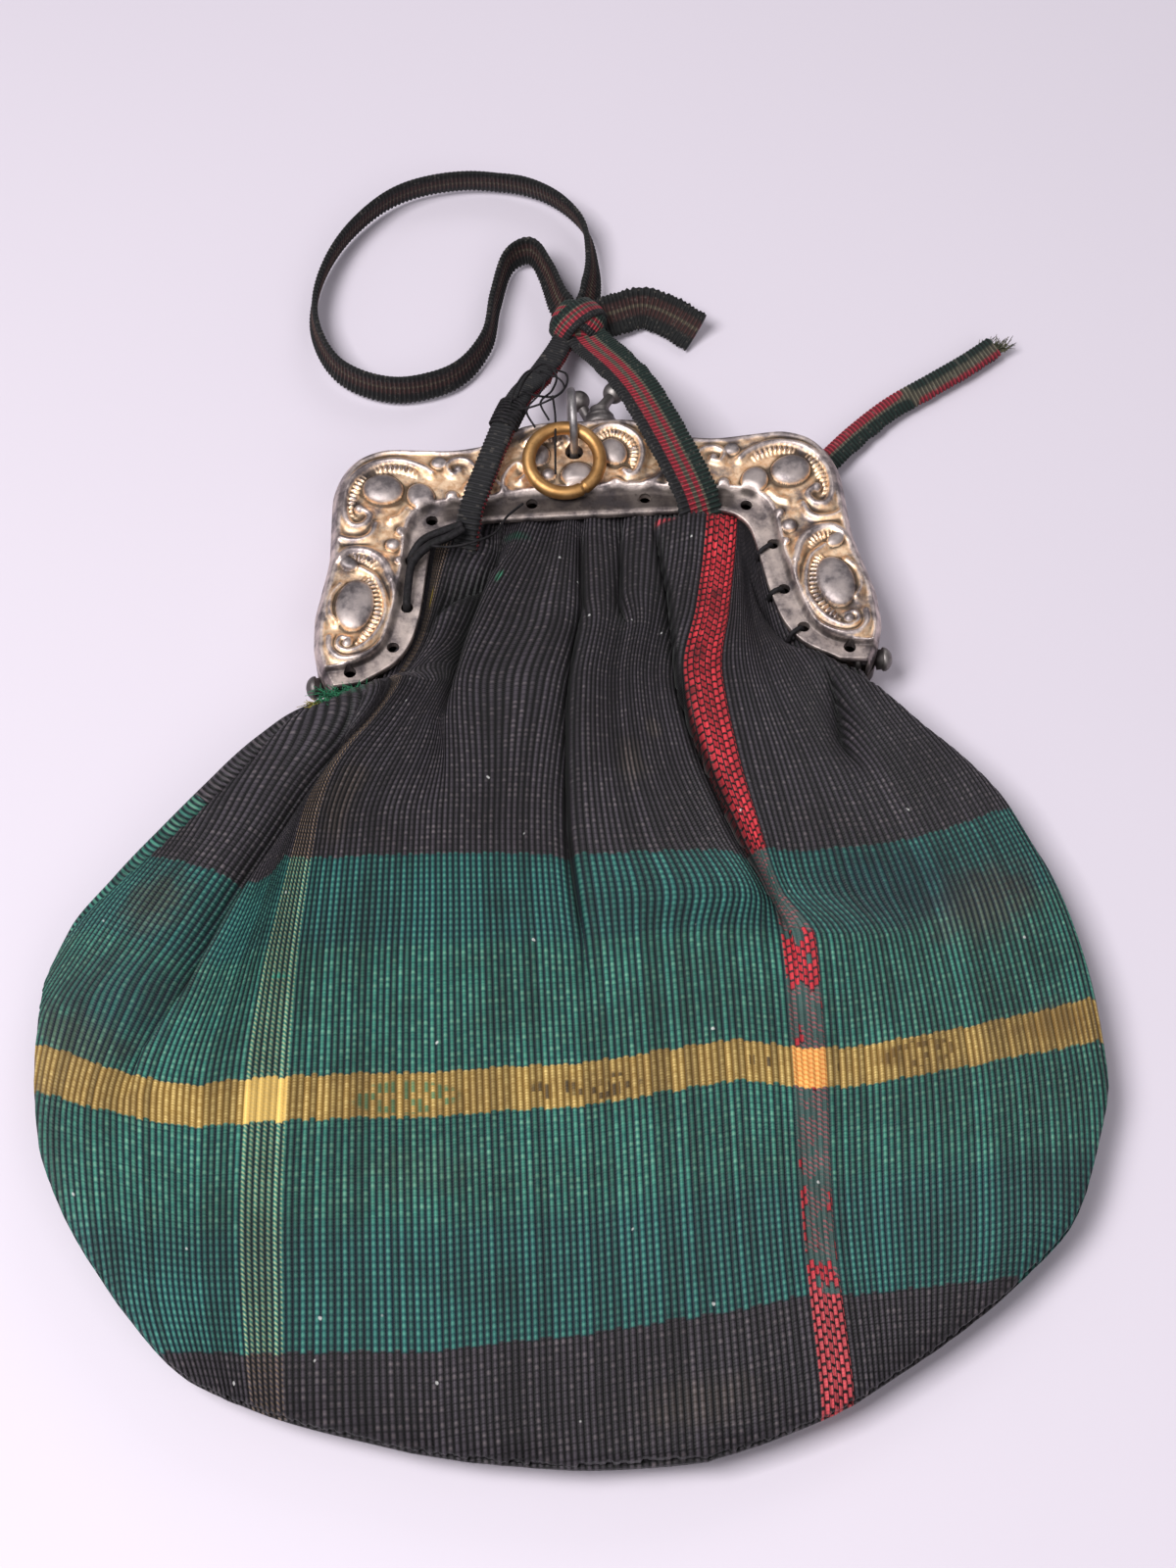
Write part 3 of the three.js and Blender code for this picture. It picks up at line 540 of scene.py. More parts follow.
def columns(*parts):
    """Columns side by side; a single number fills its own."""
    return np.stack(np.broadcast_arrays(*parts), axis=-1)


def travel(points):
    """How far along a line each of its points is."""
    return np.concatenate([[0], np.cumsum(np.linalg.norm(np.diff(points, axis=0), axis=1))])


def circle(count):
    """Angles of points spaced evenly round a circle."""
    return np.arange(count) * TURN / count


def spokes(angles, first, second):
    """Points round the ellipse that two vectors span."""
    return np.cos(angles)[:, None] * first + np.sin(angles)[:, None] * second


def along(knots, values, v):
    """Reads at v a curve through the knots that never overshoots them.
    The values may have a column for each v."""
    knots = np.asarray(knots, float)
    values = np.asarray(values, float)
    v = np.clip(np.asarray(v, float), knots.min(), knots.max())
    if knots[0] > knots[-1]:
        knots = knots[::-1]
        values = values[::-1]
    if values.ndim == 1:
        values = np.repeat(values[:, None], v.size, axis=1)
    span = np.diff(knots)[:, None]
    slope = np.diff(values, axis=0) / span
    product = slope[:-1] * slope[1:]
    total = np.where(product > 0, slope[:-1] + slope[1:], 1)
    inner = np.where(product > 0, 2 * product / total, 0)
    tangent = np.vstack([slope[:1], inner, slope[-1:]])
    i = np.clip(np.searchsorted(knots, v) - 1, 0, len(span) - 1)
    n = np.arange(v.size)
    step = span[i, 0]
    t = (v - knots[i]) / step
    a = values[i, n]
    b = values[i + 1, n]
    ta = tangent[i, n] * step
    tb = tangent[i + 1, n] * step
    return a + ta * t + (3 * (b - a) - 2 * ta - tb) * t**2 + (2 * (a - b) + ta + tb) * t**3


def beside(xs, ys, x, y):
    """For each point: its distance from a line, its place along the line in points, and 1 where it
    lies left of the line's way."""
    gap = np.full(x.shape, 1e9)
    place = np.zeros(x.shape)
    side = np.zeros(x.shape)
    for i in range(len(xs) - 1):
        way_x = xs[i + 1] - xs[i]
        way_y = ys[i + 1] - ys[i]
        t = ((x - xs[i]) * way_x + (y - ys[i]) * way_y) / (way_x**2 + way_y**2)
        t = np.clip(t, 0, 1)
        off_x = x - xs[i] - t * way_x
        off_y = y - ys[i] - t * way_y
        off = np.hypot(off_x, off_y)
        near = off < gap
        gap = np.where(near, off, gap)
        place = np.where(near, i + t, place)
        side = np.where(near, np.sign(way_x * off_y - way_y * off_x), side)
    return gap, place, side


def rounded(points, per_span=8):
    """A smooth line through the points, with any further columns carried along."""
    p = np.asarray(points, float)
    p = np.vstack([2 * p[0] - p[1], p, 2 * p[-1] - p[-2]])
    out = []
    for i in range(1, len(p) - 2):
        for t in np.arange(per_span) / per_span:
            a = 2 * p[i]
            b = p[i + 1] - p[i - 1]
            c = 2 * p[i - 1] - 5 * p[i] + 4 * p[i + 1] - p[i + 2]
            d = 3 * p[i] - p[i - 1] - 3 * p[i + 1] + p[i + 2]
            out.append((a + b * t + c * t**2 + d * t**3) / 2)
    out.append(p[-2])
    return np.array(out)


def evenly(points, step):
    """A line's points put about step apart, and how far along each is."""
    long = travel(points[:, :3])
    at = np.linspace(0, long[-1], max(2, int(round(long[-1] / step)) + 1))
    return columns(*(np.interp(at, long, column) for column in points.T)), at


def level_frame(line):
    """At each point of a line: its way, level across it, and up from it."""
    way = unit(np.gradient(line, axis=0))
    side = unit(columns(way[:, 1], -way[:, 0], 0))
    return way, side, np.cross(side, way)


# Mesh building.


def outward(points, faces):
    """The faces, all turned over if the closed body they make is inside out."""
    triangles = np.array([(f[0], f[i], f[i + 1]) for f in faces for i in range(1, len(f) - 1)])
    a, b, c = (points[triangles[:, k]] for k in range(3))
    volume = np.einsum("ij,ij->i", a, np.cross(b, c)).sum()
    return faces if volume > 0 else [tuple(reversed(f)) for f in faces]


def joined(bodies):
    """Several bodies of (points, faces) as one."""
    points = []
    faces = []
    start = 0
    for p, f in bodies:
        points.append(p)
        faces += [tuple(start + i for i in face) for face in f]
        start += len(p)
    return np.vstack(points), faces


def placed(name, data):
    """A new object in the scene."""
    made = bpy.data.objects.new(name, data)
    bpy.context.scene.collection.objects.link(made)
    return made


def mesh_of(name, body):
    points, faces = body
    mesh = bpy.data.meshes.new(name)
    mesh.from_pydata(to_row(points).tolist(), [], faces)
    return mesh


def make(name, body, material, slot, replaces=(), **attributes):
    """A piece that rides on the purse, with vector attributes on its points."""
    mesh = mesh_of(name, body)
    mesh.shade_smooth()
    for key, values in attributes.items():
        made = mesh.attributes.new(key, "FLOAT_VECTOR", "POINT")
        made.data.foreach_set("vector", np.asarray(values, np.float32).ravel())
    mesh.materials.append(material)
    piece = placed(name, mesh)
    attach(piece, "root")
    if replaces:
        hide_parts(*replaces)
    return piece


def swept(rings, closed=False):
    """A body through rings of points in the same order.
    Its ends are capped unless it is closed on itself."""
    rings = np.asarray(rings, float)
    count, around = rings.shape[:2]
    faces = []
    for i in range(count if closed else count - 1):
        n = (i + 1) % count
        for k in range(around):
            m = (k + 1) % around
            faces.append((i * around + k, i * around + m, n * around + m, n * around + k))
    if not closed:
        faces.append(tuple(reversed(range(around))))
        faces.append(tuple(range((count - 1) * around, count * around)))
    points = rings.reshape(-1, 3)
    return points, outward(points, faces)


def tube(line, radius, sides=8, closed=False):
    """A round wire along a line; radius is one number or one for each point."""
    line = np.asarray(line, float)
    way = np.roll(line, -1, 0) - np.roll(line, 1, 0) if closed else np.gradient(line, axis=0)
    way = unit(way)
    angles = circle(sides)
    lift = np.cross(way[0], ASKEW)
    rings = []
    for at, forward, r in zip(line, way, np.broadcast_to(radius, len(line))):
        lift = unit(lift - forward * (lift @ forward))
        rings.append(at + r * spokes(angles, lift, np.cross(forward, lift)))
    return swept(rings, closed)


def turned(profile, at, way, sides=32):
    """A body turned about an axis through at: the profile has (distance along way, radius)."""
    way = unit(np.asarray(way, float))
    lift = unit(np.cross(way, ASKEW))
    ring = spokes(circle(sides), lift, np.cross(way, lift))
    return swept([np.asarray(at) + far * way + max(r, POINT) * ring for far, r in profile])


def ball(radius, at, way):
    arc = np.linspace(-math.pi / 2, math.pi / 2, 17)
    return turned(columns(radius * np.sin(arc), radius * np.cos(arc)), at, way)


# The bag.


def section(column, y):
    return along(SECTIONS["y"], SECTIONS[column], y)


def rib_x(rib, y):
    lines = np.array([along(RIB_LEVELS, across, y) for across in RIBS.values()])
    return along(list(RIBS), lines, rib)


def rib_ends(ribs):
    """Where each rib enters and leaves the panel, from the mouth down, and whether it does."""
    heights = np.arange(BAR_TUCK_Y, BAG_BOTTOM_Y, -EDGE_STEP)
    rib, y = (g.ravel() for g in np.meshgrid(ribs, heights, indexing="ij"))
    x = rib_x(rib, y)
    tuck = np.interp(y, TUCK["y"], TUCK["far"])
    within = (x > section("left", y) - tuck) & (x < section("right", y) + tuck)
    within = within.reshape(len(ribs), len(heights))
    top = heights[within.argmax(axis=1)]
    low = heights[::-1][within[:, ::-1].argmax(axis=1)]
    return top, low, within.any(axis=1)


def fullness(x, y):
    """0 at the cloth's edge, 1 at the belly's crown."""
    clear = MOUTH_CLEAR * smooth(*MOUTH_CLEAR_Y, y)
    left = section("left", y) + clear
    right = section("right", y) - clear
    share = np.minimum(1, np.abs((2 * x - left - right) / (right - left)))
    return (1 - share ** lerp(*BELLY_POWER, smooth(*BELLY_POWER_Y, y))) ** BELLY_ROUND


def furrow(fold, x, y):
    """Drop of the cloth beside one fold, how far it is drawn sideways, and how deep in the fold it is,
    which darkens the cloth's colour as painted shade.
    A fold with a lip has a steep edge to the east, which hangs over a slope on the west."""
    lip, line = fold
    gap, place, side = beside(line["x"], line["y"], x, y)
    points = np.arange(len(line["x"]))
    deep = np.interp(place, points, line["deep"])
    wide = np.interp(place, points, line["wide"])
    east = side > 0
    slope = hump(gap, wide)
    west_shade = FOLD_SHADE_WEST * wide * (lip > 0) * ~east
    inside = deep * np.exp(-gap / (FOLD_SHADE + west_shade))
    if lip == 0:
        point = np.exp(-gap / (DIMPLE_POINT * wide))
        return deep * lerp(point, slope, DIMPLE_SLOPE), np.zeros(x.shape), inside
    steep = np.exp(-gap / FOLD_EDGE)
    share = deep / line["deep"].max()
    lap = lip * share * hump(gap, LIP_REACH) * np.where(east, 1, LIP_WEST)
    drop = deep * np.where(east, steep, lerp(steep, slope, SLOPE_SHARE)) - lap
    drawn = np.where(east, -np.exp(-gap / LAP_EAST), LAP_WEST_SHARE * np.exp(-gap / LAP_WEST))
    return drop, FOLD_LAP * share * drawn, inside


def folded(x, y):
    """All folds together, as furrow gives them for one."""
    return np.sum([furrow(fold, x, y) for fold in FOLDS.values()], axis=0)


def bunched(x, y):
    """Draws the ribs together into the folds near the mouth, so that the rest keep their pitch."""
    moved = x
    west = section("left", y)
    for name, much, low, high in BUNCHED:
        line = FOLDS[name][1]
        east = np.interp(y, line["y"][::-1], line["x"][::-1])
        long = np.maximum(east - west, 0.1)
        share = np.clip((x - west) / long, 0, 1)
        power = lerp(1, much, smooth(low, high, y))
        drawn = share**power / (share**power + (1 - share) ** power)
        moved = moved + BUNCHED_MOST * (drawn - share) * long
        west = east
    return moved


def front_height(x, y, rib, drop):
    rim = lerp(SEAM_FRONT, MOUTH_FRONT, smooth(*FRONT_RIM_Y, y))
    full = fullness(x, y)
    dome = rim + np.maximum(0, section("crown", y) - rim) * full
    lip = MOUTH_LIP["rise"] * smooth(*MOUTH_LIP["top"], y) * smooth(*MOUTH_LIP["low"], y)
    lip = lip * hump(x - MOUTH_LIP["x"], MOUTH_LIP["half"], 4)
    gather = GATHER_RISE * np.sin(TURN * rib / GATHER_WAVE) * smooth(*GATHER_Y, y)
    return dome + lip - (drop + gather) * smooth(*FOLDS_SET_IN, full)


def back_height(x, y):
    rim = lerp(SEAM_BACK, MOUTH_BACK, smooth(*BACK_RIM_Y, y))
    tall = (section("crown", y) - SEAM_FRONT) / BACK_FLAT_TALL
    near = 1 - fullness(x, y) * np.clip(tall, 0, 1)
    return rim * smooth(*BACK_RISES, near)


def weft(rib, y):
    """Place in the flat cloth along its ribs, so that the tartan's lines run where they are seen."""
    lines = (GREEN_TOP, YELLOW_LINE, GREEN_LOW)
    top, yellow, low = (np.interp(rib, line["rib"], line["y"]) for line in lines)
    upper = WEFT_TOP + (y - top) * np.where(y > top, 1, (WEFT_TOP - WEFT_YELLOW) / (top - yellow))
    lower = WEFT_YELLOW + (y - yellow) * (WEFT_YELLOW - WEFT_LOW) / (yellow - low)
    lower = np.where(y > low, lower, WEFT_LOW + (y - low))
    return np.where(y > yellow, upper, lower)


def panel_grid(ribs, rows, short):
    """Points on ribs by rows, cut off short of the panel's edge, and the faces between them."""
    top, low, there = rib_ends(ribs)
    top = top - short
    low = low + short
    there &= top > low + RIB_PITCH
    found = []
    grid = []
    for rib, first, last in zip(ribs[there], top[there], low[there]):
        column = []
        before = None
        for row in rows:
            y = first if row > first - ROW_SNAP else last if row < last + ROW_SNAP else row
            if y != before:
                found.append((rib, y))
            before = y
            column.append(len(found) - 1)
        grid.append(column)
    faces = []
    for left, right in zip(grid, grid[1:]):
        for j in range(len(rows) - 1):
            face = tuple(dict.fromkeys((left[j], left[j + 1], right[j + 1], right[j])))
            if len(face) > 2:
                faces.append(face)
    return np.array(found), faces


def wall(upper, lower, faces):
    """A closed cloth wall between two surfaces with the same faces."""
    half = len(upper)
    sides = [(f[i], f[(i + 1) % len(f)]) for f in faces for i in range(len(f))]
    known = set(sides)
    rim = [(b, a, half + a, half + b) for a, b in sides if (b, a) not in known]
    under = [tuple(half + i for i in reversed(f)) for f in faces]
    points = np.vstack([upper, lower])
    return points, outward(points, faces + under + rim)


def panel(half, material, grid, x, upper, lower, inside):
    """One wall of the bag over a grid of ribs and rows."""
    (rib, y), faces = grid[0].T, grid[1]
    # The cloth attribute holds the place across the ribs, the place along them, and the depth in a fold
    # for painted shade.
    cloth = columns(rib - FIRST_RIB, weft(rib, y), inside)
    body = wall(columns(x, y, upper), columns(x, y, lower), faces)
    return make("cloth_" + half, body, material, "tartan_silk", ["bag_" + half],
                cloth=np.vstack([cloth, cloth]))


def thickness(full):
    return lerp(SEAM_THICK, CLOTH, smooth(*THICK_SETS_IN, full))


def bag_front(material):
    count = int((LAST_RIB - FIRST_RIB) / RIB_PITCH)
    fine = len(RIB_COLUMNS)
    ribs = FIRST_RIB + np.arange(count * fine + 1) * RIB_PITCH / fine
    short = np.random.default_rng(SERRATED_SEED).uniform(0, SERRATED, count + 1)
    grid = panel_grid(ribs, FRONT_ROWS, short[np.arange(len(ribs)) // fine])
    rib, y = grid[0].T
    x = bunched(rib_x(rib, y), y)
    full = fullness(x, y)
    drop, drawn, inside = folded(x, y)
    z = front_height(x, y, rib, drop)
    phase = np.rint((rib - FIRST_RIB) / RIB_PITCH * fine).astype(int) % fine
    ridge = RIB_RISE * np.array(RIB_COLUMNS)[phase]
    x = x + drawn * smooth(*FOLDS_SET_IN, full)
    return panel("front", material, grid, x, z + ridge, z - thickness(full), inside)


def bag_back(material):
    count = int((LAST_RIB - FIRST_RIB) / BACK_PITCH)
    ribs = FIRST_RIB + np.arange(count + 1) * BACK_PITCH
    grid = panel_grid(ribs, BACK_ROWS, np.zeros(len(ribs)))
    rib, y = grid[0].T
    x = rib_x(rib, y)
    z = back_height(x, y)
    return panel("back", material, grid, x, z + thickness(fullness(x, y)), z, 0)


def shoulder_roll(material):
    """The turned edge along the left shoulder. Its ribs run slanting across it."""
    count, sides = SHOULDER_GRID
    y = np.linspace(SHOULDER["y"][0], SHOULDER["y"][-1], count)
    inset, z, radius = (along(SHOULDER["y"], SHOULDER[c], y) for c in ("inset", "z", "radius"))
    line = columns(section("left", y) + inset, y, z)
    far = travel(line)[:, None]
    across = SHOULDER_FROM + far + SHOULDER_SLANT * radius[:, None] * np.sin(circle(sides))
    off = np.where(y > SHOULDER_GREEN_Y, SHOULDER_OFF, -SHOULDER_OFF)[:, None]
    cloth = columns(across, WEFT_TOP + off + far % SHOULDER_REPEAT, SHOULDER_SHADE)
    return make("shoulder_roll", tube(line, radius, sides), material, "tartan_silk",
                cloth=cloth.reshape(-1, 3))


# The frame.


def edge(column, place):
    """A column of the frame's edge at a place, which runs from 0 at the crest to the last row at the
    right arm's end, and below 0 on the left."""
    value = along(np.arange(len(FRAME[column])), FRAME[column], np.abs(place))
    return value * np.sign(place) if column.endswith("x") else value


def frame_places(count):
    """Places along the frame at even steps of its middle line."""
    last = len(FRAME["outx"]) - 1
    fine = np.linspace(-last, last, FRAME_FINE)
    middle = columns(edge("outx", fine) + edge("inx", fine), edge("outy", fine) + edge("iny", fine)) / 2
    long = travel(middle)
    return np.interp(np.linspace(0, long[-1], count), long, fine)


def relief(x, y, ridges, bosses, beads, flutes):
    """Height of the chased work over its ground, and how far each point belongs to a plain boss."""
    height = np.zeros(x.shape)
    plain = np.zeros(x.shape)
    for name, (rise, wide, points) in ridges.items():
        line = rounded(points, RIDGE_POINTS)
        gap, place, side = beside(line[:, 0], line[:, 1], x, y)
        height = np.maximum(height, rise * hump(gap, wide * RIDGE_WIDE))
        distance = np.interp(place, np.arange(len(line)), travel(line))
        wave = lerp(FLUTE_LOW, 1, 0.5 + 0.5 * np.cos(TURN * distance / FLUTE_PITCH))
        for ridge, off, hand, first, last in flutes:
            if ridge == name:
                begun, ended = (
                    smooth(at * RIDGE_POINTS - FLUTES_END, at * RIDGE_POINTS + FLUTES_END, place)
                    for at in (first, last)
                )
                band = hump(gap * side * hand - off, FLUTE_HALF, 4) * begun * (1 - ended)
                height = np.maximum(height, band * FLUTE_RISE * wave)
    for at_x, at_y, across, long, turn, rise in zip(*bosses.values()):
        c = math.cos(math.radians(turn))
        s = math.sin(math.radians(turn))
        dx = x - at_x
        dy = y - at_y
        far = np.hypot((dx * c + dy * s) / across, (dy * c - dx * s) / long)
        height = np.maximum(height, rise * np.sqrt(np.clip(1 - far**3, 0, 1)))
        plain = np.maximum(plain, smooth(*BOSS_PLAIN, far))
    for at_x, at_y, across, rise in zip(*beads.values()):
        far = np.hypot(x - at_x, y - at_y) / across
        height = np.maximum(height, rise * np.sqrt(np.clip(1 - far**2, 0, 1)))
        plain = np.maximum(plain, BEAD_SHARE * smooth(*BEAD_PLAIN, far))
    return height, plain


def blurred(grid, reach):
    """A grid averaged over reach cells each way."""
    for axis in (0, 1):
        grid = np.mean([np.roll(grid, k, axis) for k in range(-reach, reach + 1)], axis=0)
    return grid


def rim(place, rise, at, wide):
    return rise * hump(place - at, wide)


def frame_half(half, side, material):
    """One half of the frame: a raised chased band, a sewing flange and an outer wall, with its holes."""
    stations, shares = FRAME_GRID[side]
    place = frame_places(stations)
    out_x, out_y, in_x, in_y = (edge(c, place)[:, None] for c in ("outx", "outy", "inx", "iny"))
    place = np.abs(place)[:, None]
    share = np.linspace(0, 1, shares)[None, :]
    x = lerp(out_x, in_x, share)
    y = lerp(out_y, in_y, share)
    end = np.interp(place, BAND_END["place"], BAND_END["share"])
    down = np.clip((place - BAND_ROUND) / BAND_ROUND_LONG, 0, 2)
    within = ((share / end) ** 4 + down**4) ** 0.25
    raised = 1 - smooth(*BAND_STEP, within)
    middle = smooth(*CHASED_FROM, share) * (1 - smooth(*CHASED_TO, within))
    sides, plain = relief(np.abs(x), y, SIDE_RIDGES, SIDE_BOSSES, SIDE_BEADS, SIDE_FLUTES)
    crest, crest_plain = relief(x, y, CREST_RIDGES, CREST_BOSSES, CREST_BEADS, CREST_FLUTES)
    height = RELIEF[side] * np.maximum(sides, crest) * middle
    height = height + (rim(share, *OUTER_RIM) + rim(within, *INNER_RIM)) * raised
    rise = lerp(FLANGE_RISE, BAND_RISE, raised) + height
    rise = rise - EDGE_DROP * np.clip(1 - share / WALL_SHARE, 0, 1) ** 2
    top = columns(x, y, PARTING + side * rise)
    under_share, under_rise = np.array(UNDER).T
    low_x = lerp(out_x, in_x, under_share)
    low_y = lerp(out_y, in_y, under_share)
    low = columns(low_x, low_y, PARTING + side * under_rise)
    bosses = np.maximum(plain, crest_plain) * middle
    gilt = middle * (1 - bosses) * (1 - GILT_LOST * smooth(*GILT_OFF, height))
    on_bar = smooth(*BAR_X, np.abs(x)) * smooth(*BAR_Y, y)
    flange_soot = (FLANGE_SOOT + BAR_SOOT * on_bar) * (1 - SOOT_LOST * smooth(*SOOT_OFF, share))
    hollow = blurred(height, round(HOLLOW_REACH * shares)) - height + (1 - raised) * flange_soot
    low_soot = END_SOOT * smooth(*ENDS_FROM, place)
    marks = [columns(gilt, hollow, bosses), columns(np.zeros(low.shape[:2]), low_soot, 0)]
    piece = make("chased_" + half, swept(np.concatenate([top, low], axis=1)), material, "silver",
                 ["frame_" + half], metal=np.concatenate(marks, axis=1).reshape(-1, 3))
    cut(piece, frame_cutters(side))


def frame_cutters(side):
    """Round bars where the frame has holes: stitch holes, hinge notches and the link's two holes."""
    near, far = (PARTING + side * rise for rise in CUT_RISE)
    bars = [
        ((at, y, near), (at, y, far), STITCH_HOLE / 2) for x, y in STITCH_HOLES for at in (x, -x)
    ]
    for hand in (-1, 1):
        bars.append((*((hand * x, RIVET_Y, PARTING) for x in NOTCH_X), RIVET_NOTCH))
    if side > 0:
        x = LINK["x"]
        bars.append(((x, LINK_PLATE_Y, near), (x, LINK_PLATE_Y, far), LINK_HOLE))
        bars.append((*((x, y, LINK_WALL_Z) for y in LINK_WALL_Y), LINK_HOLE))
    return joined([tube((a, b), r, CUT_SIDES) for a, b, r in bars])


def cut(piece, body):
    """Takes a body out of a piece for good."""
    cutter = placed("cutter", mesh_of("cutter", body))
    step = piece.modifiers.new("holes", "BOOLEAN")
    step.operation = "DIFFERENCE"
    step.solver = "EXACT"
    step.object = cutter
    graph = bpy.context.evaluated_depsgraph_get()
    made = bpy.data.meshes.new_from_object(
        piece.evaluated_get(graph), preserve_all_data_layers=True, depsgraph=graph
    )
    carry_marks(piece.data, made, "metal")
    piece.modifiers.clear()
    piece.data = made
    bpy.data.objects.remove(cutter)


def carry_marks(old, new, name):
    """Gives each point of a new mesh the attribute of the old mesh's nearest point."""
    marks = np.zeros(len(old.vertices) * 3)
    old.attributes[name].data.foreach_get("vector", marks)
    tree = kdtree.KDTree(len(old.vertices))
    for vertex in old.vertices:
        tree.insert(vertex.co, vertex.index)
    tree.balance()
    nearest = [tree.find(v.co)[1] for v in new.vertices]
    new.attributes[name].data.foreach_set("vector", marks.reshape(-1, 3)[nearest].ravel())


def clasp(half, side, material):
    """One clasp post: a turned collar, a leaning stem and a ball."""
    z = PARTING + side * CLASP_RISE
    ball_x, ball_y, ball_rise = BALLS[half]
    top = np.array([ball_x, ball_y, PARTING + side * ball_rise])
    foot = np.array([CLASP_X, CLASP_TURNED[-1][0] - STEM_SINKS, z])
    collar = turned(CLASP_TURNED, (CLASP_X, 0, z), (0, 1, 0))
    stem = tube(np.linspace(foot, top, len(STEM_RADII)), STEM_RADII, 20)
    make("clasp_" + half, joined([collar, stem, ball(BALL_RADIUS, top, top - foot)]), material, "silver")


def rivet(hand, material):
    end = "right" if hand > 0 else "left"
    body = turned(RIVET_TURNED, (0, RIVET_Y, PARTING), (hand, 0, 0))
    make("rivet_" + end, body, material, "silver", ["hinge_rivet_" + end])


def middle_of(spec):
    return np.array([spec["x"], spec["y"], spec["z"]])


def ring_link(material):
    line = middle_of(LINK) + spokes(circle(72), (0, LINK["half_y"], 0), (0, 0, LINK["half_z"]))
    make("jump_ring", tube(line, LINK["wire"], 14, True), material, "silver", ["ring_link"])


def hanging_ring(material):
    """The brass ring, with the joint where its wire was bent together."""
    angles = circle(160)
    tilt = math.radians(RING["tilt"])
    rising = np.array([0, math.cos(tilt), math.sin(tilt)]) * RING["radius"]
    line = middle_of(RING) + spokes(angles, (RING["radius"], 0, 0), rising)
    from_split = (np.degrees(angles) - RING["split"] + 180) % 360 - 180
    radius = RING["wire"] * (1 - RING["nick"] * hump(from_split, RING["nick_wide"]))
    make("brass_ring", tube(line, radius, 20, True), material, "brass", ["hanging_ring"])


# The ribbon.


def flat_profile(wide):
    """Across a flat tape: share of its own width, offset sideways, offset up."""
    share = np.linspace(-1, 1, TAPE_COLUMNS)
    return share, share * wide / 2, DISHED * (share**2 - DISH_LEVEL)


def folded_profile(wide, *stripes):
    """Across a tape folded lengthwise. The stripes say which of the tape's own shares lie at its
    lower edge, at the fold below and above, and at its upper edge."""
    far = wide / 2
    fold_at = far - (wide - FOLD_BEND - RIBBON_THICK / 2)
    flat = np.linspace(FOLD_TAKES, 1, 6)
    bent = np.linspace(-FOLD_TAKES, FOLD_TAKES, 6)[1:-1]
    share = np.concatenate([-flat[::-1], bent, flat])
    turn = math.pi / 2 + np.clip((share + FOLD_TAKES) / (2 * FOLD_TAKES), 0, 1) * math.pi
    straight = np.abs(share) >= FOLD_TAKES
    sideways = lerp(far, fold_at, (1 - np.abs(share)) / (1 - FOLD_TAKES))
    sideways = np.where(straight, sideways, fold_at + FOLD_BEND * np.cos(turn))
    up = FOLD_BEND * np.where(straight, np.sign(share), -np.sin(turn))
    return np.interp(share, (-1, -FOLD_TAKES, FOLD_TAKES, 1), stripes), sideways, up


def tape(route, profile, faces, seed, later):
    """A woven tape along a route: its body, the marks for its colours, and its middle line.
    faces says whether the bright (1) or the dull side (-1) shows on its upper and lower face.
    later has the shares across its far part, where it is turned over."""
    line, far = evenly(rounded(route, ROUTE_POINTS), RIBBON_RIB / RIB_RINGS)
    at = line[:, :3]
    turn = np.radians(line[:, 3])[:, None]
    way, level, up_from = level_frame(at)
    side = level * np.cos(turn) - up_from * np.sin(turn)
    lift = np.cross(side, way)
    share, sideways, up = profile
    slope = unit(columns(np.gradient(sideways), np.gradient(up)))
    wander = np.random.default_rng(seed).normal(0, 1, WANDER_PLACES)
    wander = SELVEDGE_WANDER * np.interp(far, np.linspace(0, far[-1], WANDER_PLACES), wander)
    wave = RIB_SWELL * np.cos(TURN * far / RIBBON_RIB)
    over = smooth(*TURNS_OVER, far / far[-1])
    last = len(share) - 1
    rings = []
    marks = []
    for face, shown in zip((1, -1), faces):
        for k in range(last + 1)[::face]:
            hem = k in (0, last)
            half = face * (RIBBON_THICK / 2 + wave) * (SELVEDGE_THIN if hem else 1)
            out = sideways[k] + hem * (wander + wave)
            off_side = (out - half * slope[k, 1])[:, None] * side
            off_up = (up[k] + half * slope[k, 0])[:, None] * lift
            rings.append(at + off_side + off_up)
            marks.append(columns(lerp(share[k], later[k], over), far, shown))
    return swept(np.stack(rings, axis=1)), np.stack(marks, axis=1).reshape(-1, 3), at


def ribbon(end, route, profile, faces, material, seed, later=None):
    """One length of the ribbon and its middle line."""
    body, marks, line = tape(route, profile, faces, seed, (later or profile)[0])
    return make("tape_" + end, body, material, "ribbon", ["ribbon_" + end], ribbon=marks), line


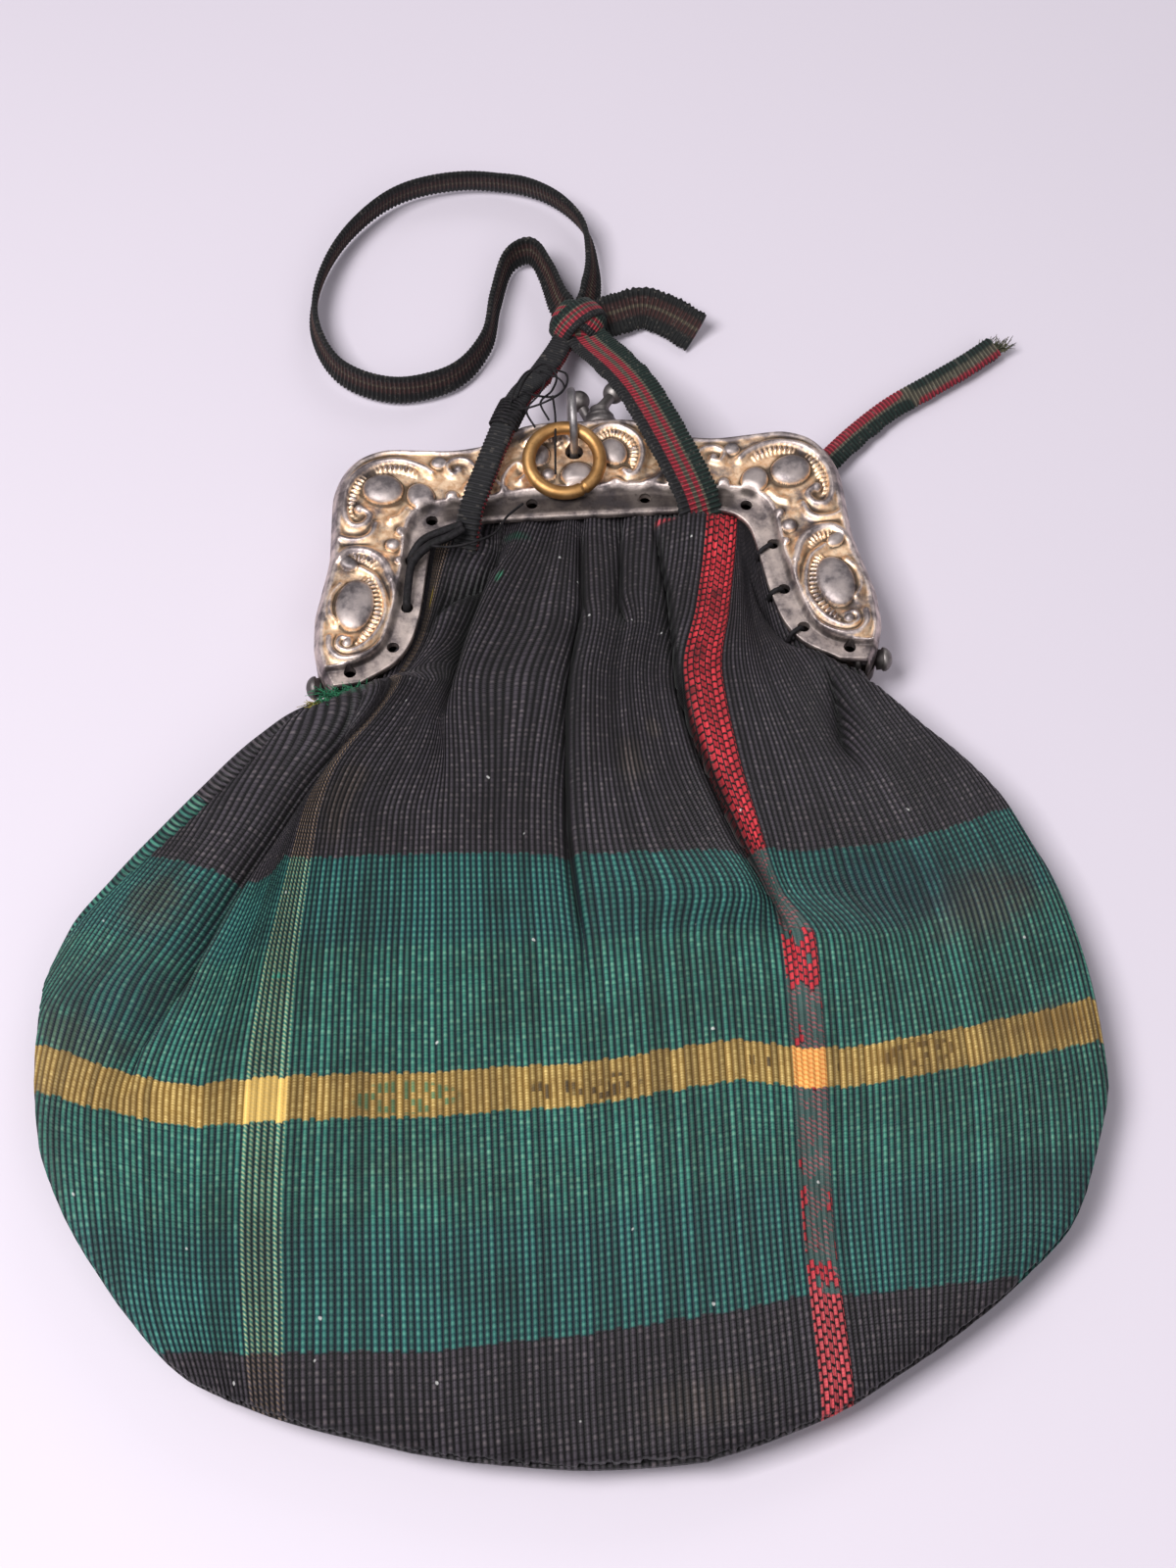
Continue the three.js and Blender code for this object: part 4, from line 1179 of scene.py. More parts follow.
def knot(material):
    """Two turns of tape round a core, as where the strands are tied."""
    middle = middle_of(KNOT)
    half = np.array([KNOT["half_x"], KNOT["half_y"], KNOT["half_z"]])
    core, faces = ball(1, (0, 0, 0), (0, 1, 0))
    bodies = [(core * half * KNOT_CORE + middle, faces)]
    marks = [columns(*(core[:, :2] * KNOT_CORE_MARKS).T, 1)]
    count, across_count = KNOT_GRID
    angles = circle(count)
    for axis, size, wide in KNOT_TURNS:
        axis = unit(np.array(axis))
        first = unit(np.cross(axis, (0, 0, 1)))
        ring = spokes(angles, first, np.cross(axis, first)) * half
        rings = []
        spots = []
        for face in (1, -1):
            for share in np.linspace(-1, 1, across_count)[::face]:
                across = share * wide / 2
                shrink = math.sqrt(max(KNOT_LEAST, 1 - (across / half[1] * KNOT_CLOSE) ** 2))
                out = size * shrink + face * KNOT_TAPE_HALF + KNOT_RIB_RISE * np.cos(angles * KNOT_RIBS)
                rings.append(middle + ring * out[:, None] + axis * across)
                spots.append(columns(share, angles * KNOT_TURN_LONG, face))
        bodies.append(swept(np.stack(rings, axis=1), True))
        marks.append(np.stack(spots, axis=1).reshape(-1, 3))
    return make("tape_knot", joined(bodies), material, "ribbon", ["ribbon_knot"], ribbon=np.vstack(marks))


# Materials.


class Value:
    """A node's output that can stand in plain sums."""

    def __init__(self, graph, socket):
        self.graph = graph
        self.socket = socket

    def other(self, output):
        """Another output of the same node."""
        return Value(self.graph, self.socket.node.outputs[output])

    def __add__(self, other):
        return self.graph.math("ADD", self, other)

    def __sub__(self, other):
        return self.graph.math("SUBTRACT", self, other)

    def __rsub__(self, other):
        return self.graph.math("SUBTRACT", other, self)

    def __mul__(self, other):
        return self.graph.math("MULTIPLY", self, other)

    def __truediv__(self, other):
        return self.graph.math("DIVIDE", self, other)

    __radd__ = __add__
    __rmul__ = __mul__


class Graph:
    """Short calls for a material's nodes."""

    def __init__(self, name):
        self.material = bpy.data.materials.new(name)
        self.material.use_nodes = True
        self.tree = self.material.node_tree
        self.shader = self.tree.nodes["Principled BSDF"]

    def put(self, socket, value):
        if isinstance(value, Value):
            self.tree.links.new(value.socket, socket)
        elif isinstance(value, tuple):
            socket.default_value = (*value, 1)
        else:
            socket.default_value = value

    def node(self, kind, inputs, output=0, **settings):
        made = self.tree.nodes.new("ShaderNode" + kind)
        for key, value in settings.items():
            setattr(made, key, value)
        for key, value in inputs.items():
            self.put(made.inputs[key], value)
        return Value(self, made.outputs[output])

    def math(self, operation, *values):
        return self.node("Math", dict(enumerate(values)), operation=operation)

    def floor(self, value):
        return self.math("FLOOR", value)

    def fract(self, value):
        return self.math("FRACT", value)

    def larger(self, a, b):
        return self.math("MAXIMUM", a, b)

    def off_middle(self, phase):
        return self.math("ABSOLUTE", phase - 0.5)

    def ramp(self, value, low, high):
        inputs = {"Value": value, "From Min": low, "From Max": high}
        return self.node("MapRange", inputs, interpolation_type="SMOOTHSTEP")

    def step(self, value, at, soft):
        """0 below a place and 1 above it, or the other way with a soft below 0."""
        return self.ramp(value, at - soft, at + soft)

    def between(self, value, low, high, soft):
        """1 between low and high, 0 outside."""
        return self.step(value, low, soft) * self.step(value, high, -soft)

    def mix(self, share, a, b, blend="MIX"):
        return self.node("Mix", {0: share, 6: a, 7: b}, 2, data_type="RGBA", blend_type=blend)

    def multiply(self, share, a, b):
        return self.mix(share, a, b, "MULTIPLY")

    def noise(self, vector, scale, detail=2, rough=0.5):
        inputs = {"Vector": vector, "Scale": scale, "Detail": detail, "Roughness": rough}
        return self.node("TexNoise", inputs)

    def vector(self, *values):
        return self.node("CombineXYZ", dict(enumerate(values)))

    def chance(self, *values):
        """A random number for each set of whole values."""
        return self.node("TexWhiteNoise", {"Vector": self.vector(*values)}, noise_dimensions="3D")

    def attribute(self, name):
        """The three parts of a vector attribute."""
        vector = self.node("Attribute", {}, "Vector", attribute_name=name)
        first = self.node("SeparateXYZ", {0: vector})
        return first, first.other(1), first.other(2)

    def place(self):
        return self.node("TexCoord", {}, "Object")

    def bump(self, height, distance, strength=1):
        return self.node("Bump", {"Height": height, "Distance": distance * MM, "Strength": strength})

    def finish(self, colour, roughness, normal=None, **constants):
        self.put(self.shader.inputs["Base Color"], colour)
        self.put(self.shader.inputs["Roughness"], roughness)
        if normal is not None:
            self.put(self.shader.inputs["Normal"], normal)
        for key, value in constants.items():
            self.shader.inputs[key.replace("_", " ").title().replace("Ior", "IOR")].default_value = value
        return self.material


def shade(red, green, blue):
    """A colour given in 0 to 255 as seen, for a shader."""
    return tuple((c / 255) ** 2.2 for c in (red, green, blue))


def grey(value):
    return (value, value, value)


BLACK_SILK = shade(72, 66, 73)
BLACK_DASH = shade(124, 114, 116)
BLACK_GROOVE = shade(10, 9, 11)
GREEN_SILK = shade(78, 140, 119)
GREEN_DEEP = shade(44, 102, 91)
GREEN_DASH = shade(118, 168, 142)
TEAL_SILK = shade(41, 94, 89)
TEAL_DOT = shade(92, 156, 136)
GREEN_GROOVE = shade(9, 27, 39)
YELLOW_SILK = shade(208, 180, 114)
YELLOW_DEEP = shade(160, 131, 74)
YELLOW_GROOVE = shade(110, 82, 34)
RED_SILK = shade(212, 58, 68)
RED_DEEP = shade(172, 42, 52)
RED_FADED = shade(186, 80, 86)
RED_DULL = shade(150, 82, 88)
RED_GROOVE = shade(26, 9, 12)
RED_GROOVE_WORN = shade(58, 36, 40)
ORANGE_CROSS = shade(244, 180, 100)
ORANGE_DEEP = shade(224, 132, 62)
YELLOW_CROSS = shade(234, 192, 106)
OLIVE_SPECK = shade(160, 174, 130)
BROWN_SPECK = shade(146, 122, 98)
GREY_GREEN = shade(60, 84, 80)
WORN_DARK = shade(44, 38, 36)
LINT = shade(206, 204, 202)

# The tartan in the flat cloth: stripes along the ribs, and places along them where the weft changes.
YELLOW_STRIPE = (-36.5, -32.5)
RED_STRIPE = (14.5, 18.0)
YELLOW_HALF = 2.05
TEAL_TOP_END = -36.4
TEAL_LOW_START = -62.5
# Each rib's weft lies up to half of this off the line.
WEFT_JITTER = 0.35
# Yarn along a rib, picks of the weft, and the weave of the two stripes: pitches.
YARN_ROW = 0.62
PICK = 0.27
SPECK_ROW = 0.42
SPECK_COLUMN = 0.31
BRICK_COLUMN = 0.5
TWILL_ROW = 0.5
# Parts of those pitches that a thread takes up: from, to, and how soft its ends are.
DASH = (0.3, 0.72, 0.16)
YARN = (0.14, 0.9, 0.1)
SPECK = (0.2, 0.62, 0.14)
BRICK_TALL = (0.2, 0.92, 0.06)
BRICK_WIDE = (0.1, 0.9, 0.06)
TWILL_DOT = (0.25, 0.65, 0.15)
TWILL_DEEP = (0.2, 0.55, 0.2)
# How soft the edges of the ground's bands and of the two stripes are.
BLACK_SOFT = 0.12
TEAL_SOFT = (0.6, 1.5)
STRIPE_SOFT = 0.1
RED_SOFT = 0.08
# Along the ribs: where the specks get denser upwards, and where the red fades downwards.
SPECKS_DENSER = (-60, -50)
RED_FADES = (-70, -74)
# Where the red is kept over the green: along its left edge, mostly low down, and at both its ends.
RED_EDGE = (0.9, 0.2)
RED_EDGE_LOW = (-59, -64)
RED_KEPT_TOP = (-42.6, -36, 1)
RED_KEPT_LOW = (-69.5, -72.5)
# Stains and worn patches, and painted shade on the right shoulder and the left flap: place, half sizes,
# how strong, and colour.
STAINS_AND_PAINTED_SHADE = (
    (37, -36, 9, 6, 0.75, shade(92, 82, 72)),
    (-54, -32, 4, 5, 0.5, shade(92, 78, 58)),
    (-54, -47, 7, 4, 0.45, shade(96, 76, 46)),
    (41, -50.5, 7, 3, 0.8, shade(104, 80, 46)),
    (24, -50.6, 3, 1.4, 0.6, shade(100, 76, 44)),
    (4, -16, 2.6, 4, 0.35, shade(110, 98, 86)),
    (8, -12, 1.6, 2, 0.3, shade(110, 98, 86)),
    (4, -80, 7, 3, 0.3, shade(96, 84, 70)),
    (-30, -20, 3, 7, 0.3, shade(96, 82, 62)),
    (-20, -58, 8, 3, 0.2, shade(96, 106, 74)),
    # Painted shade: these two rows darken the right shoulder and the left flap as if they lay in shadow.
    (29, -32, 10, 7, 0.8, shade(26, 52, 56)),
    (-51, -42, 9, 8, 0.7, shade(26, 54, 56)),
    (-17.7, 16.9, 3.6, 0.8, 0.7, shade(34, 92, 72)),
    (-16.6, 10, 0.5, 1.4, 1.0, shade(78, 168, 128)),
    (-33.7, 8.6, 0.5, 1.8, 0.95, shade(204, 174, 70)),
    (9, 18.4, 1.9, 0.6, 1.0, shade(200, 74, 84)),
    (16.4, 7.6, 0.9, 1.3, 0.75, shade(52, 22, 26)),
    (15.6, -2, 0.9, 1.6, 0.7, shade(52, 22, 26)),
    (15, -7.4, 0.8, 1.1, 0.7, shade(52, 22, 26)),
    (-50, -4.3, 3.4, 1, 0.85, shade(38, 104, 78)),
    (-34.2, -39.2, 1.3, 0.5, 1.0, shade(70, 176, 146)),
)
# Dark worn spots on the yellow line: place, width and half height.
WORN_SPOTS = (
    (-8.3, -51.4, 0.9, 0.7), (-6.4, -51.2, 0.4, 0.6), (-2.1, -51.9, 1.1, 0.6), (10.6, -50.9, 0.5, 0.5),
    (12.2, -50.8, 0.5, 0.5), (19.2, -51.2, 0.3, 0.4),
)
# Worn threads on the yellow line, block by block: place, half sizes, share worn, and colour.
WORN_THREADS = (
    (-21.5, -51.3, 5.5, 1.7, 0.5, shade(62, 118, 86)),
    (-5, -51.5, 6, 1.5, 0.22, shade(58, 48, 38)),
    (27, -50.8, 4, 1.6, 0.3, shade(96, 74, 42)),
)


def tartan():
    g = Graph("tartan_silk")
    # fold is the depth in a fold; the colour is darkened by it as painted shade.
    across, long, fold = g.attribute("cloth")
    rib = across / RIB_PITCH
    number = g.floor(rib)
    from_groove = 0.5 - g.off_middle(g.fract(rib))
    rib_chance = g.chance(number, 3, 1)
    weft_at = long + (rib_chance - 0.5) * WEFT_JITTER
    spot = g.vector(across, long, 0)
    fine = g.noise(g.vector(number * 3.7, long * 2.6, 0), 1, 3, 0.7)

    # Yarn rows along a rib: a thread shows as a light dash on the crest.
    row = long / YARN_ROW
    row_phase = g.fract(row)
    dash = g.between(row_phase, *DASH)
    dash_chance = g.chance(number, g.floor(row), 5)
    between_yarns = 1 - g.between(row_phase, *YARN)
    pick_wave = g.math("SINE", long / PICK * TURN)

    # Ground: black at both ends, then dotted teal, then green.
    black = g.larger(g.step(weft_at, WEFT_TOP, BLACK_SOFT), g.step(weft_at, WEFT_LOW, -BLACK_SOFT))
    soft_top, soft_low = TEAL_SOFT
    teal = g.larger(g.step(weft_at, TEAL_TOP_END, soft_top), g.step(weft_at, TEAL_LOW_START, -soft_low))
    dotted = g.mix(dash * (0.35 + dash_chance * 0.65) * 0.45, TEAL_SILK, TEAL_DOT)
    green = g.mix(g.ramp(fine, 0.35, 0.75), GREEN_DEEP, GREEN_SILK)
    green = g.mix(dash * g.ramp(dash_chance, 0.55, 1) * 0.5, green, GREEN_DASH)
    ground = g.mix(between_yarns * 0.34, g.mix(teal, green, dotted), GREEN_GROOVE)
    dark = g.mix(dash * g.ramp(dash_chance, 0.5, 1) * 0.5, BLACK_SILK, BLACK_DASH)
    dark = g.mix(g.ramp(fine, 0.3, 0.8), g.mix(0.35, dark, BLACK_GROOVE), dark)
    dark = g.mix(between_yarns * 0.55, dark, BLACK_GROOVE)
    ground = g.mix(black, ground, dark)

    # The yellow line across the ribs.
    line = g.between(weft_at, WEFT_YELLOW - YELLOW_HALF, WEFT_YELLOW + YELLOW_HALF, STRIPE_SOFT)
    gold = g.mix(g.ramp(fine, 0.3, 0.75), YELLOW_DEEP, YELLOW_SILK)
    gold = g.mix(g.ramp(pick_wave, -0.9, -0.3), g.mix(0.45, gold, YELLOW_GROOVE), gold)
    ground = g.mix(line, ground, gold)

    # The speckled stripe along the ribs on the left.
    stripe_from, stripe_to = (at - FIRST_RIB for at in YELLOW_STRIPE)
    stripe = g.between(across, stripe_from, stripe_to, STRIPE_SOFT)
    speck = g.between(g.fract(long / SPECK_ROW + across / SPECK_COLUMN * 0.5), *SPECK)
    brown_share = 0.42 + g.ramp(long, *SPECKS_DENSER) * 0.3
    share = speck * (0.75 + black * (brown_share - 0.75))
    striped = g.mix(share, ground, g.mix(black, OLIVE_SPECK, BROWN_SPECK))
    striped = g.mix(line, striped, g.mix(speck * 0.4, YELLOW_CROSS, YELLOW_SILK))
    ground = g.mix(stripe, ground, striped)

    # The red stripe along the ribs on the right, woven like bricks and worn off over the green.
    red_from, red_to = (at - FIRST_RIB for at in RED_STRIPE)
    red_band = g.between(across, red_from, red_to, RED_SOFT)
    column = across / BRICK_COLUMN
    brick_row = long + g.floor(g.math("MODULO", column, 2)) * 0.5
    in_row = g.between(g.fract(brick_row), *BRICK_TALL)
    brick = g.math("MINIMUM", in_row, g.between(g.fract(column), *BRICK_WIDE))
    brick_chance = g.chance(g.floor(column), g.floor(brick_row), 9)
    red = g.mix(brick_chance, RED_SILK, RED_DEEP)
    red = g.mix(g.ramp(long, *RED_FADES) * 0.7, red, RED_FADED)
    at_edge = g.ramp(across, *(red_from + off for off in RED_EDGE))
    edge_kept = at_edge * (0.2 + g.ramp(long, *RED_EDGE_LOW) * 0.35)
    places_kept = g.larger(g.between(long, *RED_KEPT_TOP), g.ramp(long, *RED_KEPT_LOW))
    patchy = g.noise(g.vector(column * 0.3, long * 0.22, 2), 1, 2)
    still_red = patchy + (brick_chance - 0.5) * 0.8 + edge_kept + places_kept * 0.6
    twill = g.fract(long / TWILL_ROW + column * 0.5)
    dots = g.between(twill, *TWILL_DOT) * g.ramp(brick_chance, 0.1, 0.7)
    speckled = g.mix(dots * 0.8, GREY_GREEN, RED_DULL)
    over_green = g.mix(g.ramp(still_red, 0.9, 0.96), speckled, g.mix(brick, RED_GROOVE_WORN, red))
    red_ground = g.mix(black, over_green, g.mix(brick, RED_GROOVE, red))
    crossed = g.mix(g.between(twill, *TWILL_DEEP), ORANGE_CROSS, ORANGE_DEEP)
    ground = g.mix(red_band, ground, g.mix(line, red_ground, crossed))

    # Wear: stains, worn threads and worn spots; also painted shade on the shoulder and the flap.
    def from_middle(at, place, wide, tall):
        """How far off an oval's middle, 1 at its edge."""
        off_across = (across - (at - FIRST_RIB)) / wide
        off_long = (long - place) / tall
        return g.math("SQRT", off_across * off_across + off_long * off_long)

    ragged = (g.noise(spot, 0.5, 5, 0.65) - 0.5) * 1.5
    # The stains' table also holds two patches of painted shade.
    for *oval, strength, colour in STAINS_AND_PAINTED_SHADE:
        mask = g.ramp(from_middle(*oval) + ragged, 1, 0.25) * strength
        ground = g.mix(mask * (0.5 + fine * 0.7), ground, colour)
    for *oval, worn_share, colour in WORN_THREADS:
        block = g.ramp(from_middle(*oval), 1, 0.8) * g.step(dash_chance, worn_share, -0.03)
        ground = g.mix(block * 0.8, ground, colour)
    for at, place, wide, tall in WORN_SPOTS:
        worn = g.between(across - (at - FIRST_RIB), -wide / 2, wide / 2, 0.08)
        worn = worn * g.between(weft_at, place - tall, place + tall, 0.12)
        ground = g.mix(worn * 0.85, ground, WORN_DARK)

    # Grooves between the ribs, lighter and darker ribs, painted shade in the folds, and lint.
    groove = g.mix(line, g.mix(black, GREEN_GROOVE, BLACK_GROOVE), YELLOW_GROOVE)
    less = g.larger(red_band * 0.8, line * stripe * 0.55)
    colour = g.mix((1 - g.ramp(from_groove, 0.1, 0.4)) * (0.95 - less), ground, groove)
    colour = g.multiply(1, colour, g.mix(g.ramp(rib_chance, 0, 1), grey(0.56), grey(1)))
    cloudy = g.noise(spot, 0.12, 4, 0.6)
    colour = g.multiply(g.ramp(cloudy, 0.62, 0.36), colour, (0.72, 0.7, 0.7))
    # Painted shade: the cloth is darkened where it lies deep in a fold.
    colour = g.multiply(g.ramp(fold, 0.2, 2), colour, (0.08, 0.08, 0.09))
    off_speck = g.node("TexVoronoi", {"Vector": spot, "Scale": 0.45}, "Distance")
    some = g.ramp(g.chance(off_speck.other("Position"), 1, 2), 0.84, 0.87)
    colour = g.mix(g.ramp(off_speck, 0.1, 0.05) * some * 0.6, colour, LINT)

    height = g.math("SQRT", from_groove * 2) + (pick_wave + fine * 1.5) * 0.12
    return g.finish(colour, 0.5 + fine * 0.25, g.bump(height, 0.1), sheen_weight=0.04,
                    sheen_roughness=0.4, specular_ior_level=0.28)


def old_silver():
    """Worn silver with gilding left in the ground of the chased work."""
    g = Graph("old_silver")
    gilt, hollow, plain = g.attribute("metal")
    spot = g.place()
    broad = g.noise(spot, 380, 4, 0.65)
    fine = g.noise(spot, 1400, 4, 0.65)
    silver = g.mix(g.ramp(broad, 0.35, 0.68), shade(146, 134, 134), shade(224, 207, 199))
    silver = g.mix(plain * 0.7, silver, g.mix(fine, shade(104, 98, 101), shade(166, 157, 156)))
    gold = g.mix(g.ramp(fine, 0.3, 0.7), shade(220, 172, 128), shade(255, 225, 190))
    worn = gilt + (broad - 0.5) * 2.2
    colour = g.mix(g.ramp(worn, 0.47, 1.1) * 0.92, silver, gold)
    soot = g.ramp(hollow, 0.025, 0.2) + g.ramp(fine, 0.55, 0.8) * 0.25
    colour = g.mix(g.math("MINIMUM", soot * 0.85, 0.92), colour, shade(44, 38, 36))
    tarnish = g.ramp(broad, 0.52, 0.3) * (1 - gilt * 0.5)
    colour = g.mix(tarnish * 0.6, colour, shade(72, 68, 70))
    rough = 0.3 + (broad + fine) * 0.2 + plain * 0.08 + soot * 0.2
    return g.finish(colour, rough, g.bump(fine * 0.7 + broad, 0.09, 0.7), metallic=1.0)


def worn_metal(name, bright, dull, dark):
    """Plain metal wire with handling marks."""
    g = Graph(name)
    spot = g.place()
    broad = g.noise(spot, 300, 3, 0.6)
    fine = g.noise(spot, 1800, 4, 0.7)
    colour = g.mix(g.ramp(broad, 0.35, 0.7), dull, bright)
    colour = g.mix(g.ramp(fine, 0.55, 0.75) * 0.6, colour, dark)
    return g.finish(colour, 0.4 + fine * 0.25, g.bump(fine, 0.03, 0.5), metallic=1.0)


# The ribbon's stripes from its black edge to its green one: where each ends, and its colour.
RIBBON_STRIPES = (
    (-0.5, shade(36, 35, 38)),
    (-0.16, shade(160, 46, 60)),
    (0.06, shade(94, 88, 76)),
    (0.3, shade(150, 44, 58)),
    (0.42, shade(98, 94, 80)),
    (1.1, shade(26, 44, 39)),
)


def woven_ribbon():
    g = Graph("woven_ribbon")
    share, far, face = g.attribute("ribbon")
    fine = g.noise(g.vector(share * 9, far * 2.4, face), 1, 4, 0.7)
    wobble = share + (fine - 0.5) * 0.08
    colour = RIBBON_STRIPES[0][1]
    for (end, _), (_, following) in zip(RIBBON_STRIPES, RIBBON_STRIPES[1:]):
        colour = g.mix(g.step(wobble, end, 0.03), colour, following)
    dull = g.mix(g.between(wobble, -0.6, 0.32, 0.1), shade(27, 28, 29), shade(66, 42, 40))
    dull = g.mix(g.between(wobble, -0.22, -0.06, 0.05), dull, shade(92, 84, 70))
    colour = g.mix(g.step(face, 0, -0.1), colour, dull)
    crest = g.ramp(g.off_middle(g.fract(far / RIBBON_RIB)), 0.24, 0.46)
    colour = g.multiply(1, colour, g.mix(g.ramp(fine, 0.25, 0.75), grey(0.7), (1.15, 1.12, 1.1)))
    colour = g.multiply((1 - crest) * 0.9, colour, (0.2, 0.18, 0.2))
    fluff = g.ramp(g.chance(g.floor(share * 14), g.floor(far * 5), 2), 0.9, 1)
    colour = g.mix(fluff * 0.12, colour, shade(150, 140, 130))
    return g.finish(colour, 0.72, g.bump(crest + fine * 0.4, 0.06), sheen_weight=0.05,
                    specular_ior_level=0.25)


def thread_material(name, dark, light):
    g = Graph(name)
    twist = g.noise(g.place(), 2600, 3, 0.6)
    colour = g.mix(g.ramp(twist, 0.3, 0.7), dark, light)
    return g.finish(colour, 0.75, g.bump(twist, 0.06), specular_ior_level=0.25)


# Threads and loose fibres.

# Dark stitches left in the frame's holes and the loose threads about the ring: radius and line.
STITCHES = (
    (0.28, ((19.6, 13.6, 7.2), (19.3, 13.4, 8.3), (18.7, 13, 8.5), (18.1, 12.6, 8.2), (17.8, 12.4, 7.2))),
    (0.28, ((20.2, 7.6, 7.2), (19.9, 7.5, 8.3), (19.3, 7.3, 8.5), (18.8, 7.1, 8.2), (18.5, 7, 7.2))),
    (0.28, ((21.8, 2.6, 7.2), (21.5, 2.4, 8.3), (20.9, 2, 8.5), (20.4, 1.7, 8.2), (20.1, 1.5, 7.2))),
    (0.48, ((-20.2, 7.6, 7.2), (-20.2, 8, 8.6), (-19.9, 10.6, 9), (-19.4, 12.8, 9.2),
            (-17.6, 14.6, 9.6), (-15.4, 15.4, 9.9), (-13.8, 16.4, 9.9))),
    (0.48, ((-19.6, 13.6, 7.2), (-19.5, 13.9, 8.7), (-18.2, 15.6, 9.3), (-16, 16.4, 9.7),
            (-13.9, 17, 9.9))),
    (0.14, ((-17.4, 14.4, 9.8), (-15.2, 13.6, 10.6), (-12.6, 13.9, 10.9), (-10.4, 15.4, 10.3),
            (-9, 18, 9.6), (-7.2, 19.8, 9.4))),
)
LOOSE_THREADS = (
    (0.13, ((-7.6, 33.5, 9.6), (-6, 36.4, 10.6), (-4, 38.6, 10.2), (-2.6, 37.4, 9.6), (-3.2, 34.6, 10.4),
            (-4.6, 32.4, 11), (-3.8, 30.2, 10.6))),
    (0.13, ((-6.6, 36, 8.8), (-4.8, 34.2, 10), (-2.9, 33.4, 10.8), (-1.6, 35.2, 10.4), (-1.5, 38.4, 8.6),
            (-3.4, 40.2, 7.4))),
    (0.13, ((-3.2, 33.6, 10.6), (-3.1, 30, 11.4), (-3.3, 26.4, 11.4), (-3.5, 22.4, 11))),
    (0.12, ((-8.2, 31.8, 10.6), (-7.2, 34.6, 11.4), (-5.6, 36.9, 11.2), (-4, 36, 10.9),
            (-4.6, 33.6, 11.2), (-6.2, 31.2, 11.3), (-5.4, 28.8, 11.2))),
    (0.12, ((-8, 32, 10.5), (-5.8, 31.4, 11.5), (-3.4, 32.2, 11.8), (-1.9, 34.2, 11), (-2.4, 36.4, 10.2),
            (-4.4, 38.2, 9.4))),
)
# Fuzz at the cloth's raw edges: place, spread and how many fibres.
GREEN_FRAY = ((-27.6, -3.7, 9.4, 1.2, 200), (-25, -3, 8.6, 0.9, 140))
OLIVE_FRAY = ((-29.8, -4.2, 8.4, 0.55, 130),)
# The long end's raw cut: fibres run on along it.
CUT_FRAY = ((48.7, 44.9, 1.5, 0.95, 130),)
FRAY_WAY = (0, -0.5, 0.25)
CUT_WAY = (0.9, 0.7, 0)
# Fibres: how far their feet and their tips are strewn, by axis, how much they bend, and their radii.
FIBRE_FEET = np.array([1, 0.35, 0.12])
FIBRE_TIPS = np.array([0.7, 0.5, 0.25])
FIBRE_BEND = 0.35
# Feet and tips strewn further than this are drawn in to it.
FEET_MOST = 1.6
TIPS_MOST = 1.3
THREAD_SIDES = 6
FIBRE_SIDES = 4
FIBRE_RADII = np.linspace(0.07, 0.03, 5)
# Thread wound round the left strand: shares of its length, and the coil.
WRAP = dict(first=0.43, last=0.55, turns=8, points=18, radius=1.55, flat=0.62, thread=0.17)


def wrap(line, material):
    """Thread wound round the left strand where it is bound."""
    turns = np.linspace(0, 1, WRAP["turns"] * WRAP["points"])
    share = lerp(WRAP["first"], WRAP["last"], turns)
    at = columns(*(np.interp(share, np.linspace(0, 1, len(line)), c) for c in line.T))
    _, side, lift = level_frame(at)
    angle = (turns * WRAP["turns"] * TURN)[:, None]
    coil = at + WRAP["radius"] * (side * np.cos(angle) + lift * np.sin(angle) * WRAP["flat"])
    return make("tape_binding", tube(coil, WRAP["thread"], THREAD_SIDES), material, "ribbon")


def threads(name, rows, material):
    bodies = [tube(rounded(points), radius, THREAD_SIDES) for radius, points in rows]
    make(name, joined(bodies), material, "tartan_silk")


def fray(name, places, lean, material, slot, seed):
    """Short loose fibres at a raw edge that lean one way."""
    rng = np.random.default_rng(seed)
    share = np.linspace(0, 1, len(FIBRE_RADII))[:, None]
    bodies = []
    for x, y, z, spread, count in places:
        for _ in range(count):
            strewn = np.clip(rng.normal(0, 1, 3), -FEET_MOST, FEET_MOST)
            foot = np.array([x, y, z]) + strewn * spread * FIBRE_FEET
            way = np.clip(rng.normal(0, 1, 3), -TIPS_MOST, TIPS_MOST) * FIBRE_TIPS + np.array(lean)
            bend = rng.normal(0, FIBRE_BEND, 3)
            bodies.append(tube(foot + way * share + bend * share**2, FIBRE_RADII, FIBRE_SIDES))
    return make(name, joined(bodies), material, slot)


# The setting.

FLOOR_REACH = 1.5
SKY = (0.92, 0.9, 0.97, 1)
SKY_POWER = 0.3
# Lamps: name, place in metres, size and power.
LAMPS = (
    ("key", (-0.24, -0.1, 0.5), 0.24, 4.4),
    ("front", (0.22, -0.42, 0.5), 0.4, 1.2),
    ("back", (0.25, 0.42, 0.4), 0.25, 0.5),
)


def facing(at, aim):
    """A matrix that stands at a place and looks along aim, with Z up."""
    aim = unit(np.asarray(aim, float))
    right = unit(np.cross(aim, (0, 0, 1)))
    up = np.cross(right, aim)
    rows = [(right[k], up[k], -aim[k], at[k]) for k in range(3)]
    return Matrix([*rows, (0, 0, 0, 1)])


